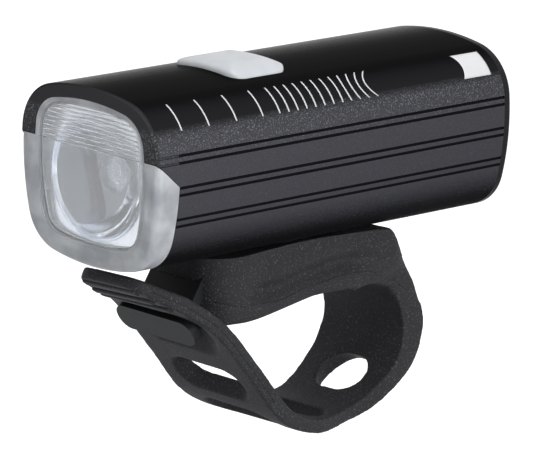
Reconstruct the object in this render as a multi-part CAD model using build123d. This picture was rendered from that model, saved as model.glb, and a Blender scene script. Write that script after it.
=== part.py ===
from build123d import *
import math
import os

os.makedirs("parts", exist_ok=True)

# A bicycle headlight on a rubber handlebar strap, in millimetres and degrees.
# The origin is the handlebar's centre, inside the strap's loop.
# X runs along the bar, -Y is the way the beam points, +Z is up.

# Driving sizes of the whole
bar_radius = 11.1  # a 22.2 mm handlebar
saddle_rise = 10.9  # rubber between the bar and the light
body_ahead = 16.8  # the light's middle ahead of the bar
body_length = 96.3
body_width = 38.4
body_height = 35.0
widest_share = 0.5743  # height of the widest place above the underside, as a share of the whole
crown_radius = 54.3
shoulder_radius = 10.4
flank_radius = 51.0
bilge_radius = 9.3
belly_radius = 51.8
front_rake = 2.4  # the face leans forward at its top
rear_rake = 0.9

# Clearances and overruns
fit = 0.1  # between pieces that are fixed together
running = 0.05  # radial, between pieces that turn or slide
soft_gap = 0.3  # round rubber that moves
overrun = 5.0  # cuts run this far past what they cut

# Housing
wall = 2.4
hood_depth = 5.4  # the front collar, and the skirt that replaces its lower half
rim_top = 2.6
rim_side = 3.9
rim_bottom = 3.3
edge_break = 0.35
groove_radius = 0.28
groove_gap = 1.4  # between the two lines of a pair
groove_pitch = 6.2
groove_top = 4.45  # first line above the widest level
groove_pairs = 3
channel_radius = 2.1  # round screw channels in the four corners of the bore
channel_inward = 7.0  # their middles inside the body's widest place
channel_under = 6.6  # and under its crown
channel_over = 7.5  # and over its belly
channel_setback = 3.0  # channels start this far behind the lamp's heat sink
screw_radius = 0.9

# Lens cover
window_thickness = 1.6
skirt_wall = 2.3
skirt_round = 1.3
skirt_top = 3.0  # where the skirt's ends meet the front, above the widest level
skirt_slope = 40.0  # its ends run down and back at this angle
lip_depth = 2.6  # wall round the window's back
lip_wall = 1.3
lip_groove = 0.65
lip_ring = 1.2
lip_ring_setback = 2.3
flute_radius = 0.62
flute_depth = 0.2
flute_pitch = 0.9
flute_count = 9
flute_bottom = 3.2  # lowest flute above the widest level

# Optic and its frame
optic_low = 0.4  # optic's axis below the window's middle
optic_setback = 2.65  # its rim behind the front
optic_margin = 2.15  # between the optic and the window's nearer sides
optic_flange = 1.2
optic_length = 12.4
optic_tail_share = 0.363  # radii inside the optic, as shares of its own
dish_depth = 4.6
dish_edge = 0.6
disc_share = 0.302
disc_crown = 0.5
well_share = 0.25
well_depth = 4.4
frame_step = 0.5  # frame's face behind the optic's rim
frame_plate = 1.4
frame_wall = 1.3

# Lamp board and heat sink
board_share = 0.847  # board's radius and its screws' places, as shares of the optic's radius
board_thickness = 1.5
emitter_side = 3.5
emitter_base = 0.8
emitter_dome = 1.55
sink_thickness = 4.0
sink_screw_radius = 0.8
sink_screw_share = 0.613
sink_screw_head = 1.5
sink_screw_length = 4.2

# Battery
cell_above = 12.8  # from the cell's top to the crown
cell_beside = 9.95  # from its side to the body's
cell_behind = 3.4  # from its end to the rear cap's plug
cell_edge = 0.5
cell_nub_radius = 3.1
cell_nub = 0.6
cell_floor = 1.3  # cradle under the cell
tab_thickness = 0.25
tab_width = 6.0
cradle_ribs = 4
cradle_rib = 1.8
cradle_skin = 1.2

# Driver board
driver_width = 19.6
driver_thickness = 1.0
driver_above = 2.9  # its underside above the cell

# Button
button_across = 18.0
button_along = 14.6
button_corner = 3.0
button_behind = 36.3  # its middle behind the body's front edge
button_proud = 0.95
button_dish = 0.5
button_flange = 1.1
button_flange_thickness = 0.8
button_travel = 0.6
button_stem = 2.2
frame_ring = 1.6
frame_ledge = 0.8
switch_side = 6.2
switch_height = 2.9
plunger_radius = 1.7
plunger_proud = 1.1
status_long = 1.6
status_wide = 0.8
status_high = 0.6
status_apart = 9.6

# Rear end
cap_band = 2.1
cap_round = 1.0
plug_depth = 4.2
plug_wall = 1.5
gasket_thickness = 0.9
gasket_length = 1.2
head_radius = 1.7
head_depth = 1.2
rear_screw_length = 9.0
port_across = 13.0
port_high = 7.4
port_depth = 1.2
port_corner = 2.0
socket_across = 8.94
socket_high = 3.26
socket_long = 7.35
socket_metal = 0.3
tongue_across = 6.7
tongue_thickness = 0.7
tongue_long = 5.6
flap_plug_across = 7.2
flap_plug_high = 1.7
flap_plug_long = 0.7
flap_hinge_radius = 0.4
flap_lift_tab = 0.9

# Pivot under the light
foot_radius = 8.6
foot_flange = 2.3
spigot_radius = 4.6
washer_radius = 6.0
washer_thickness = 0.8
pivot_screw_radius = 1.5
pivot_head_radius = 3.0
pivot_head = 2.0
pivot_socket_radius = 1.25
swivel_range = 15.0
swivel_shares = (-1, -0.5, 0.5, 1)  # turns at which the belly's sweep is taken

# Hook plate in the rubber block
plate_thickness = 2.6
plate_across = 17.0
plate_behind = 10.0  # behind the pivot
neck_across = 14.0
neck_thickness = 2.4
hook_across = 21.2
hook_thickness = 2.2
hook_height = 5.8
hook_reach = 6.3  # the lip's middle ahead of where the plate bends down
hook_fall = 10.0  # and below it
hook_lean = 30.0

# Rubber block
block_ahead = 41.6  # block's front ahead of the bar
block_behind = 5.7  # its rear face meets its top here
block_half = 12.0
block_crown = 0.6  # its top edges above the light's belly
block_corner = 6.0
block_front_round = 4.2
block_back_round = 5.0
block_heel = 12.9  # rear face meets the strap's bulge here
waist_half = 11.0
bulge_radius = 12.0
bulge_back = 5.5
bulge_up = 3.0
rear_thickness = 3.3
# Underside of the block: shares of its reach ahead, and of the bar's radius
underside_shares = [(0.9, 0.745), (0.78, 0.725), (0.6, 0.79), (0.32, 0.955)]
# Levels, as shares of the bar's radius, between which the rubber behind the bar narrows
waist_shares = (-0.7, -0.1, 0.5)

# Strap, from where it leaves the bar to its tip
strap_thickness = 3.3
sole_half = 12.0
strap_half = 14.25
leave_angle = 55.0  # strap leaves the bar this far below level
sole_run = 5.7
sole_round = 9.0
sole_flat = 9.8
nose_round = 12.4
rise_angle = 47.5
rise_run = 26.8
tail_bend = 24.0
tail_reach = 59.4  # tip ahead of the bar
tail_gap = 1.2  # tip under the light's belly
taper_start = 39.0
taper_end = 52.5
taper_half = 8.9
tip_half = 8.3
tip_corner = 3.5
hook_slot_across = 23.0
hook_slot_along = 14.5
hook_slot_corner = 5.8
hook_slot_place = 26.4  # slots' places along the strap, from the start of its rise
slot_across = 19.0
slot_along = 9.4
slot_place = 9.5
nose_slot_along = 8.4
nose_slot_place = -3.2
sole_slot_along = 7.6
sole_slot_place = -13.3
round_hole_across = 12.2
round_hole_along = 7.6
round_hole_place = 1.9  # past the place where the strap leaves the bar
finger_ribs = 3
finger_pitch = 4.2
finger_height = 1.0
finger_width = 1.9
finger_inset = 1.0

# Places that follow from the sizes above
belly_z = bar_radius + saddle_rise
widest_level = body_height * widest_share
mid_z = belly_z + widest_level
mid_y = -body_ahead
front_y = mid_y - body_length / 2
rear_y = mid_y + body_length / 2
rise_above = body_height - widest_level
seam_y = rear_y - cap_band
body_radii = (crown_radius, shoulder_radius, flank_radius, bilge_radius, belly_radius)
window_radii = tuple(radius - rim_side for radius in body_radii)
window_half = body_width / 2 - rim_side
window_top = rise_above - rim_top
window_low = widest_level - rim_bottom
optic_radius = min(window_half, (window_top + window_low) / 2) - optic_margin
optic_z = mid_z + (window_top - window_low) / 2 - optic_low
optic_tail_radius = optic_radius * optic_tail_share
disc_radius = optic_radius * disc_share
well_radius = optic_radius * well_share
board_radius = optic_radius * board_share
sink_screw_reach = optic_radius * sink_screw_share
optic_y = front_y + optic_setback
lamp_y = optic_y + optic_length + fit
sink_y = lamp_y + board_thickness
sink_back_y = sink_y + sink_thickness
# These come to a standard cell, 18.5 mm across and 65 mm long
cell_radius = min(body_height - wall - cell_floor - cell_above, body_width - 2 * cell_beside) / 2
cell_z = belly_z + wall + cell_floor + cell_radius
cell_y = sink_back_y + cell_nub + tab_thickness + fit
cell_length = seam_y - plug_depth - cell_behind - cell_y
driver_z = cell_z + cell_radius + driver_above
driver_top = driver_z + driver_thickness
button_y = front_y + button_behind
crown_z = belly_z + body_height
bore_top = crown_z - wall
switch_top = driver_top + switch_height
flange_top = bore_top - fit
flange_low = flange_top - button_flange_thickness
port_z = driver_top + socket_high / 2
pivot_y = mid_y
foot_z = belly_z - foot_flange
plate_top = foot_z - running
plate_low = plate_top - plate_thickness
rearward = (0, 1, 0)


# Rounded section of the body and of what follows its shape
class Outline:
    def __init__(self, width, rise, drop, radii):
        self.half = width / 2
        self.rise = rise
        self.drop = drop
        self.crown, self.shoulder, self.flank, self.bilge, self.belly = radii
        self.crown_centre = Vector(0, 0, rise - self.crown)
        self.belly_centre = Vector(0, 0, self.belly - drop)
        self.flank_centre = Vector(self.half - self.flank, 0, 0)
        self.shoulder_centre = self.corner(self.crown_centre, self.crown, self.shoulder, 1)
        self.bilge_centre = self.corner(self.belly_centre, self.belly, self.bilge, -1)

    # Centre of a corner arc that touches the flank and the arc above or below it
    def corner(self, centre, radius, corner_radius, side):
        reach = radius - corner_radius
        flank_reach = self.flank - corner_radius
        across = self.flank_centre - centre
        apart = across.length
        along = (reach**2 - flank_reach**2 + apart**2) / (2 * apart)
        height = math.sqrt(reach**2 - along**2)
        unit = across / apart
        square = Vector(-unit.Z, 0, unit.X)
        first = centre + unit * along + square * height
        second = centre + unit * along - square * height
        return first if (first.Z - second.Z) * side > 0 else second

    # The four points where the arcs of the right half meet, and the arcs' middles
    def right_half(self, inset):
        def on(centre, radius, towards):
            return centre + (towards - centre).normalized() * (radius - inset)

        def between(centre, radius, start, end):
            middle = (start - centre).normalized() + (end - centre).normalized()
            return centre + middle.normalized() * (radius - inset)

        upper = on(self.crown_centre, self.crown, self.shoulder_centre)
        side_up = on(self.flank_centre, self.flank, self.shoulder_centre)
        side_low = on(self.flank_centre, self.flank, self.bilge_centre)
        lower = on(self.belly_centre, self.belly, self.bilge_centre)
        shoulder = between(self.shoulder_centre, self.shoulder, upper, side_up)
        flank = Vector(self.half - inset, 0, 0)
        bilge = between(self.bilge_centre, self.bilge, side_low, lower)
        return upper, shoulder, side_up, flank, side_low, bilge, lower

    # Solid of this section, inset all round, between two places along Y
    def prism(self, inset, start, end):
        right = self.right_half(inset)
        left = [Vector(-point.X, 0, point.Z) for point in reversed(right)]
        top = Vector(0, 0, self.rise - inset)
        low = Vector(0, 0, inset - self.drop)
        place = Vector(0, start, mid_z)
        arcs = [(left[-1], top, right[0]), (right[-1], low, left[0])]
        for half in (right, left):
            arcs += [half[index : index + 3] for index in (0, 2, 4)]
        edges = [ThreePointArc(*[point + place for point in arc]) for arc in arcs]
        return extrude(make_face(Wire(edges)), amount=end - start, dir=rearward)


body_outline = Outline(body_width, rise_above, widest_level, body_radii)
window_outline = Outline(2 * window_half, window_top, window_low, window_radii)


# Planes parallel to the leaning front and rear faces
def front_plane(depth):
    lean = math.radians(front_rake)
    return Plane((0, front_y + depth, mid_z), x_dir=(1, 0, 0), z_dir=(0, math.cos(lean), math.sin(lean)))


def rear_plane(depth):
    lean = math.radians(rear_rake)
    return Plane((0, rear_y - depth, mid_z), x_dir=(1, 0, 0), z_dir=(0, math.cos(lean), math.sin(lean)))


def behind(solid, plane):
    return split(solid, bisect_by=plane, keep=Keep.TOP)


def ahead(solid, plane):
    return split(solid, bisect_by=plane, keep=Keep.BOTTOM)


def rod(radius, start, end):
    direction = Vector(*end) - Vector(*start)
    base = Plane(origin=start, z_dir=direction)
    return extrude(base * Circle(radius), amount=direction.length, dir=direction.normalized())


def block(x_size, low, high, y_low, y_high):
    size_y = y_high - y_low
    size_z = high - low
    return Pos(0, (y_low + y_high) / 2, (low + high) / 2) * Box(x_size, size_y, size_z)


def upright(across, along, corner, y_middle, low, high):
    base = Plane((0, y_middle, low))
    return extrude(base * RectangleRounded(across, along, corner), amount=high - low)


# Plate with rounded corners that stands across the Y axis
def standing(across, high, corner, y_start, y_end, z_middle):
    base = Plane((0, y_start, z_middle), x_dir=(1, 0, 0), z_dir=rearward)
    return extrude(base * RectangleRounded(across, high, corner), amount=y_end - y_start)


def channel_places():
    return [
        (side * (body_width / 2 - channel_inward), z)
        for side in (-1, 1)
        for z in (belly_z + channel_over, crown_z - channel_under)
    ]


def channel_cuts(radius, start, end):
    return [rod(radius, (x, start, z), (x, end, z)) for x, z in channel_places()]


# Front end of the body with its leaning face and a worked outer edge
def front_blank(rounded, size, end):
    blank = behind(body_outline.prism(0, front_y - overrun, end), front_plane(0))
    rim = blank.faces().sort_by(Axis.Y)[0].outer_wire().edges()
    return fillet(rim, size) if rounded else chamfer(rim, size)


# Space of the lower half that the lens cover's skirt takes from the tube
def skirt_zone(gap):
    depth = hood_depth + gap
    lean = math.radians(skirt_slope)
    top = mid_z + skirt_top + gap
    corners = [
        (front_y - overrun, top + overrun * math.tan(lean)),
        (front_y + depth, top - depth * math.tan(lean)),
        (front_y + depth, belly_z - overrun),
        (front_y - overrun, belly_z - overrun),
    ]
    side = Polyline(*[(0, y, z) for y, z in corners], close=True)
    return extrude(make_face(side), amount=body_width, dir=(1, 0, 0), both=True)


def make_housing():
    tube = ahead(front_blank(False, edge_break, rear_y), rear_plane(cap_band))
    tube -= body_outline.prism(wall, front_y + hood_depth, rear_y + overrun)
    tube -= window_outline.prism(0, front_y - overrun, front_y + hood_depth + overrun)
    channels_end = seam_y - plug_depth - fit
    for x, z in channel_places():
        channels_start = sink_back_y + channel_setback
        if z > mid_z:
            channels_start = button_y + button_along / 2 + button_flange + frame_ring + fit
        post = rod(channel_radius, (x, channels_start, z), (x, channels_end, z))
        web = block(channel_radius, z, z + channel_radius * 2, channels_start, channels_end)
        if z < mid_z:
            web = block(channel_radius, z - channel_radius * 2, z, channels_start, channels_end)
        tube += (post + Pos(x, 0, 0) * web) & body_outline.prism(wall / 2, front_y, rear_y)
        tube -= rod(screw_radius, (x, channels_end - rear_screw_length, z), (x, rear_y, z))
    tube -= skirt_zone(fit)
    tube -= upright(
        button_across + 2 * fit,
        button_along + 2 * fit,
        button_corner + fit,
        button_y,
        mid_z,
        crown_z + overrun,
    )
    tube -= rod(pivot_screw_radius, (0, pivot_y, belly_z - overrun), (0, pivot_y, mid_z))
    for pair in range(groove_pairs):
        for line in (0, 1):
            level = groove_top - pair * groove_pitch - line * groove_gap
            centre = body_outline.flank_centre
            x = centre.X + math.sqrt(flank_radius**2 - level**2)
            if level < side_low_level():
                x = bilge_x(level)
            for side in (-1, 1):
                start = (side * x, front_y - overrun, mid_z + level)
                end = (side * x, rear_y + overrun, mid_z + level)
                tube -= rod(groove_radius, start, end)
    return tube


# The flank arc ends here, below the widest level, and the bilge arc begins
def side_low_level():
    return body_outline.right_half(0)[4].Z


def bilge_x(level):
    centre = body_outline.bilge_centre
    return centre.X + math.sqrt(bilge_radius**2 - (level - centre.Z) ** 2)


def make_lens_cover():
    skirt = front_blank(True, skirt_round, front_y + hood_depth) & skirt_zone(0)
    hollow = body_outline.prism(skirt_wall, front_y, front_y + hood_depth + overrun)
    skirt -= behind(hollow, front_plane(window_thickness))
    window = window_outline.prism(fit, front_y - overrun, front_y + hood_depth)
    window = behind(window, front_plane(fit))
    lip = ahead(window, front_plane(window_thickness + lip_depth))
    inside = window_outline.prism(fit + lip_wall, front_y - overrun, front_y + hood_depth)
    lip -= behind(inside, front_plane(window_thickness))
    ring = window_outline.prism(0, front_y - overrun, front_y + hood_depth)
    ring -= window_outline.prism(lip_groove + fit, front_y - overrun, front_y + hood_depth)
    ring = behind(ring, front_plane(lip_ring_setback - fit / 2))
    lip -= ahead(ring, front_plane(lip_ring_setback + lip_ring + fit / 2))
    cover = skirt + lip
    lean = math.tan(math.radians(front_rake))
    for index in range(flute_count):
        level = flute_bottom + index * flute_pitch
        y = front_y + window_thickness - level * lean + flute_radius - flute_depth
        flute = rod(flute_radius, (-body_width, y, mid_z + level), (body_width, y, mid_z + level))
        cover -= flute & inside
    return cover


def round_face(points_arcs):
    edges = []
    for kind, points in points_arcs:
        places = [(radius, optic_y + depth, optic_z) for radius, depth in points]
        edges.append(ThreePointArc(*places) if kind == "arc" else Polyline(*places))
    return make_face(Wire([edge for shape in edges for edge in shape.edges()]))


# A shallow dome about the optic's axis: its middle, a place half way out, and its edge
def dome_points(radius, edge_depth, crown):
    sphere = (radius**2 + crown**2) / (2 * crown)
    half_way = sphere - math.sqrt(sphere**2 - radius**2 / 4)
    return [(0, edge_depth - crown), (radius / 2, edge_depth - crown + half_way), (radius, edge_depth)]


def make_optic():
    body_middle = (optic_radius + optic_tail_radius) / 2 + optic_flange
    well = optic_length - well_depth
    disc = dome_points(disc_radius, dish_depth, disc_crown)
    well_dome = dome_points(well_radius, well, disc_crown)
    profile = round_face(
        [
            ("line", [well_dome[0], disc[0]]),
            ("arc", disc),
            ("line", [disc[2], (optic_radius - dish_edge, 0), (optic_radius, 0)]),
            ("line", [(optic_radius, 0), (optic_radius, optic_flange)]),
            ("line", [(optic_radius, optic_flange), (optic_radius - dish_edge, optic_flange)]),
            ("arc", [(optic_radius - dish_edge, optic_flange), (body_middle, optic_length / 2),
                     (optic_tail_radius, optic_length)]),
            ("line", [(optic_tail_radius, optic_length), (well_radius, optic_length), well_dome[2]]),
            ("arc", well_dome[::-1]),
        ]
    )
    return revolve(profile, axis=Axis((0, 0, optic_z), rearward))


def make_optic_frame():
    start = optic_y + frame_step
    end = lamp_y - fit
    lean = math.tan(math.radians(front_rake))
    tube_start = front_y + window_thickness + lip_depth + (widest_level - rim_bottom) * lean + fit
    tube_radius = optic_radius + running + frame_wall
    inside_lip = window_outline.prism(fit + lip_wall + fit, start, tube_start + fit)
    plate = inside_lip & block(body_width, belly_z, crown_z, start, start + frame_plate)
    collar = inside_lip & rod(tube_radius, (0, start, optic_z), (0, tube_start + fit, optic_z))
    tube = rod(tube_radius, (0, tube_start, optic_z), (0, end, optic_z))
    frame = plate + collar + tube
    flange_back = optic_y + optic_flange + running
    frame -= rod(optic_radius + running, (0, front_y, optic_z), (0, flange_back, optic_z))
    frame -= rod(optic_radius - dish_edge + running, (0, flange_back, optic_z), (0, sink_y, optic_z))
    return frame


def make_led_emitter():
    base_back = lamp_y
    base_front = base_back - emitter_base
    base = standing(emitter_side, emitter_side, emitter_base / 4, base_front, base_back, optic_z)
    dome = Pos(0, base_front, optic_z) * Sphere(emitter_dome)
    return base + ahead(dome, Plane((0, base_front, optic_z), x_dir=(1, 0, 0), z_dir=rearward))


def sink_screw_places():
    return [(side * sink_screw_reach, optic_z) for side in (-1, 1)]


def make_led_board():
    board = rod(board_radius, (0, lamp_y, optic_z), (0, sink_y, optic_z))
    for x, z in sink_screw_places():
        board -= rod(sink_screw_radius + fit, (x, lamp_y, z), (x, sink_y, z))
    return board


def make_board_screws():
    screws = []
    for x, z in sink_screw_places():
        shank = rod(sink_screw_radius, (x, lamp_y, z), (x, lamp_y + sink_screw_length, z))
        head = rod(sink_screw_head, (x, lamp_y - sink_screw_radius, z), (x, lamp_y, z))
        screws.append((shank + head).solid())
    return Compound(screws)


def make_heat_sink():
    sink = body_outline.prism(wall + fit, sink_y, sink_back_y)
    for x, z in sink_screw_places():
        sink -= rod(sink_screw_radius, (x, sink_y - fit, z), (x, lamp_y + sink_screw_length + fit, z))
    wire_way = upright(cell_nub_radius * 2, sink_thickness, fit * 2, sink_back_y, driver_z, crown_z)
    return sink - wire_way


def make_battery_cell():
    cell = rod(cell_radius, (0, cell_y, cell_z), (0, cell_y + cell_length, cell_z))
    cell = fillet(cell.edges().filter_by(GeomType.CIRCLE), cell_edge)
    return cell + rod(cell_nub_radius, (0, cell_y - cell_nub, cell_z), (0, cell_y, cell_z))


def make_battery_tabs():
    front_face = cell_y - cell_nub
    back_face = cell_y + cell_length
    front_tab = block(tab_width, cell_z - cell_nub_radius, driver_z, front_face - tab_thickness, front_face)
    back_tab = block(tab_width, cell_z - cell_nub_radius, driver_z, back_face, back_face + tab_thickness)
    return Compound([front_tab.solid(), back_tab.solid()])


def make_battery_cradle():
    start = cell_y + cell_edge
    end = cell_y + cell_length - cell_edge
    skin = body_outline.prism(wall + fit, start, end)
    skin -= body_outline.prism(wall + fit + cradle_skin, start - overrun, end + overrun)
    keep = block(body_width, belly_z, cell_z, start - overrun, end + overrun)
    cradle = skin & keep
    step = (end - start - cradle_rib) / (cradle_ribs - 1)
    tall = block(body_width, belly_z, driver_z, start - overrun, end + overrun)
    for index in range(cradle_ribs):
        y = start + index * step
        cradle += body_outline.prism(wall + fit, y, y + cradle_rib) & tall
    cradle -= rod(cell_radius + fit, (0, start - overrun, cell_z), (0, end + overrun, cell_z))
    cradle -= block(cell_radius, cell_z, driver_z, start - overrun, end + overrun)
    for cut in channel_cuts(channel_radius + fit, start - overrun, end + overrun):
        cradle -= cut
    for x, z in channel_places():
        if z < mid_z:
            side = block(channel_radius + 2 * fit, z - channel_radius * 2, z, start - overrun, end + overrun)
            cradle -= Pos(x, 0, 0) * side
    return cradle.solids().sort_by(SortBy.VOLUME)[-1]


def make_driver_board():
    return block(driver_width, driver_z, driver_top, sink_back_y + fit, seam_y - fit)


def make_switch_body():
    body = upright(switch_side, switch_side, fit * 4, button_y, driver_top, switch_top)
    bore_low = driver_top + fit * 4
    return body - rod(plunger_radius + running, (0, button_y, bore_low), (0, button_y, switch_top))


def make_switch_plunger():
    low = switch_top - button_travel - fit * 4
    return rod(plunger_radius, (0, button_y, low), (0, button_y, switch_top + plunger_proud))


def make_status_leds():
    places = [side * status_apart / 2 for side in (-1, 1)]
    chips = [
        Pos(x, button_y, driver_top + status_high / 2) * Box(status_long, status_wide, status_high)
        for x in places
    ]
    return Compound([chip.solid() for chip in chips])


def make_button_cap():
    pad = upright(button_across, button_along, button_corner, button_y, flange_low, crown_z + overrun)
    pad &= body_outline.prism(-button_proud, front_y, rear_y)
    hollow_radius = (button_along**2 / 4 + button_dish**2) / (2 * button_dish)
    hollow_z = crown_z + button_proud - button_dish + hollow_radius
    dish = rod(hollow_radius, (-body_width, button_y, hollow_z), (body_width, button_y, hollow_z))
    pad -= Pos(0, 0, button_dish / 2) * dish
    flange = upright(
        button_across + 2 * button_flange,
        button_along + 2 * button_flange,
        button_corner + button_flange,
        button_y,
        flange_low,
        crown_z,
    )
    flange &= body_outline.prism(wall + fit, front_y, rear_y)
    stem = rod(button_stem, (0, button_y, switch_top + plunger_proud), (0, button_y, flange_low))
    return pad + flange + stem


def make_button_frame():
    across = button_across + 2 * button_flange
    along = button_along + 2 * button_flange
    corner = button_corner + button_flange
    low = flange_low - button_travel - running - frame_ledge
    ring = upright(across + 2 * frame_ring, along + 2 * frame_ring, corner, button_y, low, crown_z)
    ring &= body_outline.prism(wall + running, front_y, rear_y)
    ring -= upright(across + 2 * fit, along + 2 * fit, corner + fit, button_y, low + frame_ledge, crown_z)
    ring -= upright(button_across, button_along, button_corner, button_y, low - fit, crown_z)
    return ring


def make_usb_socket():
    end = rear_y - port_depth - running
    start = end - socket_long
    corner = socket_high / 2 - socket_metal / 2
    shell = standing(socket_across, socket_high, corner, start, end, port_z)
    inner_across = socket_across - 2 * socket_metal
    inner_high = socket_high - 2 * socket_metal
    inner_corner = corner - socket_metal
    shell -= standing(inner_across, inner_high, inner_corner, start + socket_metal * 3, end + fit, port_z)
    tongue = standing(tongue_across, tongue_thickness, socket_metal, start, start + tongue_long, port_z)
    return shell + tongue


def make_rear_cap():
    blank = ahead(body_outline.prism(0, seam_y - overrun, rear_y + overrun), rear_plane(0))
    rim = blank.faces().sort_by(Axis.Y)[-1].outer_wire().edges()
    band = behind(fillet(rim, cap_round), rear_plane(cap_band))
    plug = body_outline.prism(wall + fit, seam_y - plug_depth, rear_y - cap_band / 2)
    plug = ahead(plug, rear_plane(cap_band / 2))
    plug -= body_outline.prism(wall + fit + plug_wall, seam_y - plug_depth - fit, seam_y - cap_band / 2)
    cap = band + plug
    groove = body_outline.prism(0, gasket_start(), gasket_start() + gasket_length + fit)
    groove -= body_outline.prism(wall + fit + gasket_thickness, front_y, rear_y + overrun)
    cap -= groove
    mouth = standing(port_across, port_high, port_corner, rear_y - port_depth, rear_y + overrun, port_z)
    cap -= mouth
    hinge_y, hinge_z = flap_hinge()
    hinge_half = port_across / 2 - port_corner + fit
    cap -= rod(flap_hinge_radius + running, (-hinge_half, hinge_y, hinge_z), (hinge_half, hinge_y, hinge_z))
    cap -= standing(
        socket_across + 2 * fit,
        socket_high + 2 * fit,
        socket_high / 2 - socket_metal / 2,
        seam_y - plug_depth - fit,
        rear_y,
        port_z,
    )
    cap -= block(driver_width + 2 * fit, driver_z - fit, driver_top + fit, seam_y - plug_depth - fit, seam_y)
    for x, z in channel_places():
        boss = rod(channel_radius, (x, seam_y - plug_depth, z), (x, seam_y, z))
        cap += boss & body_outline.prism(wall + fit + gasket_thickness, front_y, rear_y)
        cap -= rod(screw_radius + fit, (x, seam_y - plug_depth - fit, z), (x, rear_y + overrun, z))
        head_y = rear_y - head_depth - (z - mid_z) * math.tan(math.radians(rear_rake))
        cap -= rod(head_radius + fit, (x, head_y, z), (x, rear_y + overrun, z))
    return cap


def gasket_start():
    return seam_y - plug_depth / 2 - gasket_length / 2


def make_rear_gasket():
    start = gasket_start() + fit / 2
    ring = body_outline.prism(wall, start, start + gasket_length)
    return ring - body_outline.prism(wall + fit + gasket_thickness, front_y, rear_y)


def make_lens_gasket():
    ring = window_outline.prism(0, front_y - overrun, front_y + hood_depth)
    ring -= window_outline.prism(lip_groove, front_y - overrun, front_y + hood_depth)
    ring = behind(ring, front_plane(lip_ring_setback))
    return ahead(ring, front_plane(lip_ring_setback + lip_ring))


def make_rear_screws():
    screws = []
    for x, z in channel_places():
        head_y = rear_y - head_depth - (z - mid_z) * math.tan(math.radians(rear_rake))
        shank = rod(screw_radius, (x, head_y - rear_screw_length, z), (x, head_y, z))
        head = rod(head_radius, (x, head_y, z), (x, head_y + head_depth - fit, z))
        hexagon = Plane((x, head_y + head_depth / 2, z), x_dir=(1, 0, 0), z_dir=rearward)
        head -= extrude(hexagon * RegularPolygon(head_radius / 2, 6), amount=head_depth)
        screws.append((shank + head).solid())
    return Compound(screws)


def flap_hinge():
    return rear_y, port_z - port_high / 2 + fit


def make_port_cover():
    hinge_y, hinge_z = flap_hinge()
    start = rear_y - port_depth + fit
    flap = standing(port_across - 2 * fit, port_high - 2 * fit, port_corner - fit, start, rear_y, port_z)
    hinge_half = port_across / 2 - port_corner
    flap += rod(flap_hinge_radius, (-hinge_half, hinge_y, hinge_z), (hinge_half, hinge_y, hinge_z))
    plug_start = start - flap_plug_long
    flap += standing(flap_plug_across, flap_plug_high, flap_plug_high / 3, plug_start, start, port_z)
    tab_z = port_z + port_high / 2 - fit - flap_lift_tab
    tab = rod(flap_lift_tab / 2, (-socket_high, rear_y, tab_z), (socket_high, rear_y, tab_z))
    return flap + tab


def make_pivot_foot():
    flange = rod(foot_radius, (0, pivot_y, foot_z), (0, pivot_y, mid_z))
    flange -= body_outline.prism(0, front_y, rear_y)
    flange = flange.solids().sort_by(Axis.Z)[0]
    spigot_low = plate_low + running
    foot = flange + rod(spigot_radius, (0, pivot_y, spigot_low), (0, pivot_y, foot_z))
    return foot - rod(pivot_screw_radius + fit, (0, pivot_y, spigot_low - fit), (0, pivot_y, mid_z))


def make_pivot_washer():
    top = plate_low - running
    washer = rod(washer_radius, (0, pivot_y, top - washer_thickness), (0, pivot_y, top))
    return washer - rod(pivot_screw_radius + fit, (0, pivot_y, top - overrun), (0, pivot_y, top + fit))


def make_pivot_screw():
    seat = plate_low - running - washer_thickness
    shank = rod(pivot_screw_radius, (0, pivot_y, seat), (0, pivot_y, belly_z + wall))
    head = rod(pivot_head_radius, (0, pivot_y, seat - pivot_head), (0, pivot_y, seat))
    head = fillet(head.edges().sort_by(Axis.Z)[0], pivot_head / 4)
    base = Plane((0, pivot_y, seat - pivot_head))
    return shank + head - extrude(base * RegularPolygon(pivot_socket_radius, 6), amount=pivot_head / 2)


# Profile in the YZ plane, carried across X
def across_x(points, half):
    side = Polyline(*[(0, y, z) for y, z in points], close=True)
    return extrude(make_face(side), amount=half, dir=(1, 0, 0), both=True)


def turn(y, z, angle, distance):
    lean = math.radians(angle)
    return y + distance * math.cos(lean), z + distance * math.sin(lean)


# The bend where the hook leaves the plate, and the middle of its lip
def hook_bend():
    return -block_ahead + neck_thickness, plate_top - plate_thickness / 2


def hook_middle():
    bend_y, bend_z = hook_bend()
    return bend_y - hook_reach, bend_z - hook_fall


def make_hook_plate():
    bend_y, bend_z = hook_bend()
    lip_y, lip_z = hook_middle()
    plate = upright(
        plate_across,
        pivot_y + plate_behind - bend_y,
        plate_thickness,
        (pivot_y + plate_behind + bend_y) / 2,
        plate_low,
        plate_top,
    )
    neck_lean = math.degrees(math.atan2(lip_z - bend_z, lip_y - bend_y))
    half = neck_thickness / 2
    start_up = turn(bend_y, bend_z, neck_lean + 90, half)
    start_low = turn(bend_y, bend_z, neck_lean - 90, half)
    end_up = turn(lip_y, lip_z, neck_lean + 90, half)
    end_low = turn(lip_y, lip_z, neck_lean - 90, half)
    neck = across_x([start_up, end_up, end_low, start_low], neck_across / 2)
    knuckle = rod(plate_thickness / 2, (-neck_across / 2, bend_y, bend_z), (neck_across / 2, bend_y, bend_z))
    lip_plane = Plane(
        (0, lip_y, lip_z),
        x_dir=(1, 0, 0),
        z_dir=(0, -math.cos(math.radians(hook_lean)), -math.sin(math.radians(hook_lean))),
    )
    lip_shape = RectangleRounded(hook_across, hook_height, hook_height / 2 - fit)
    lip = extrude(lip_plane * lip_shape, amount=hook_thickness / 2, both=True)
    hook = plate + knuckle + neck + lip
    return hook - rod(spigot_radius + running, (0, pivot_y, plate_low - fit), (0, pivot_y, plate_top + fit))


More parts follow.
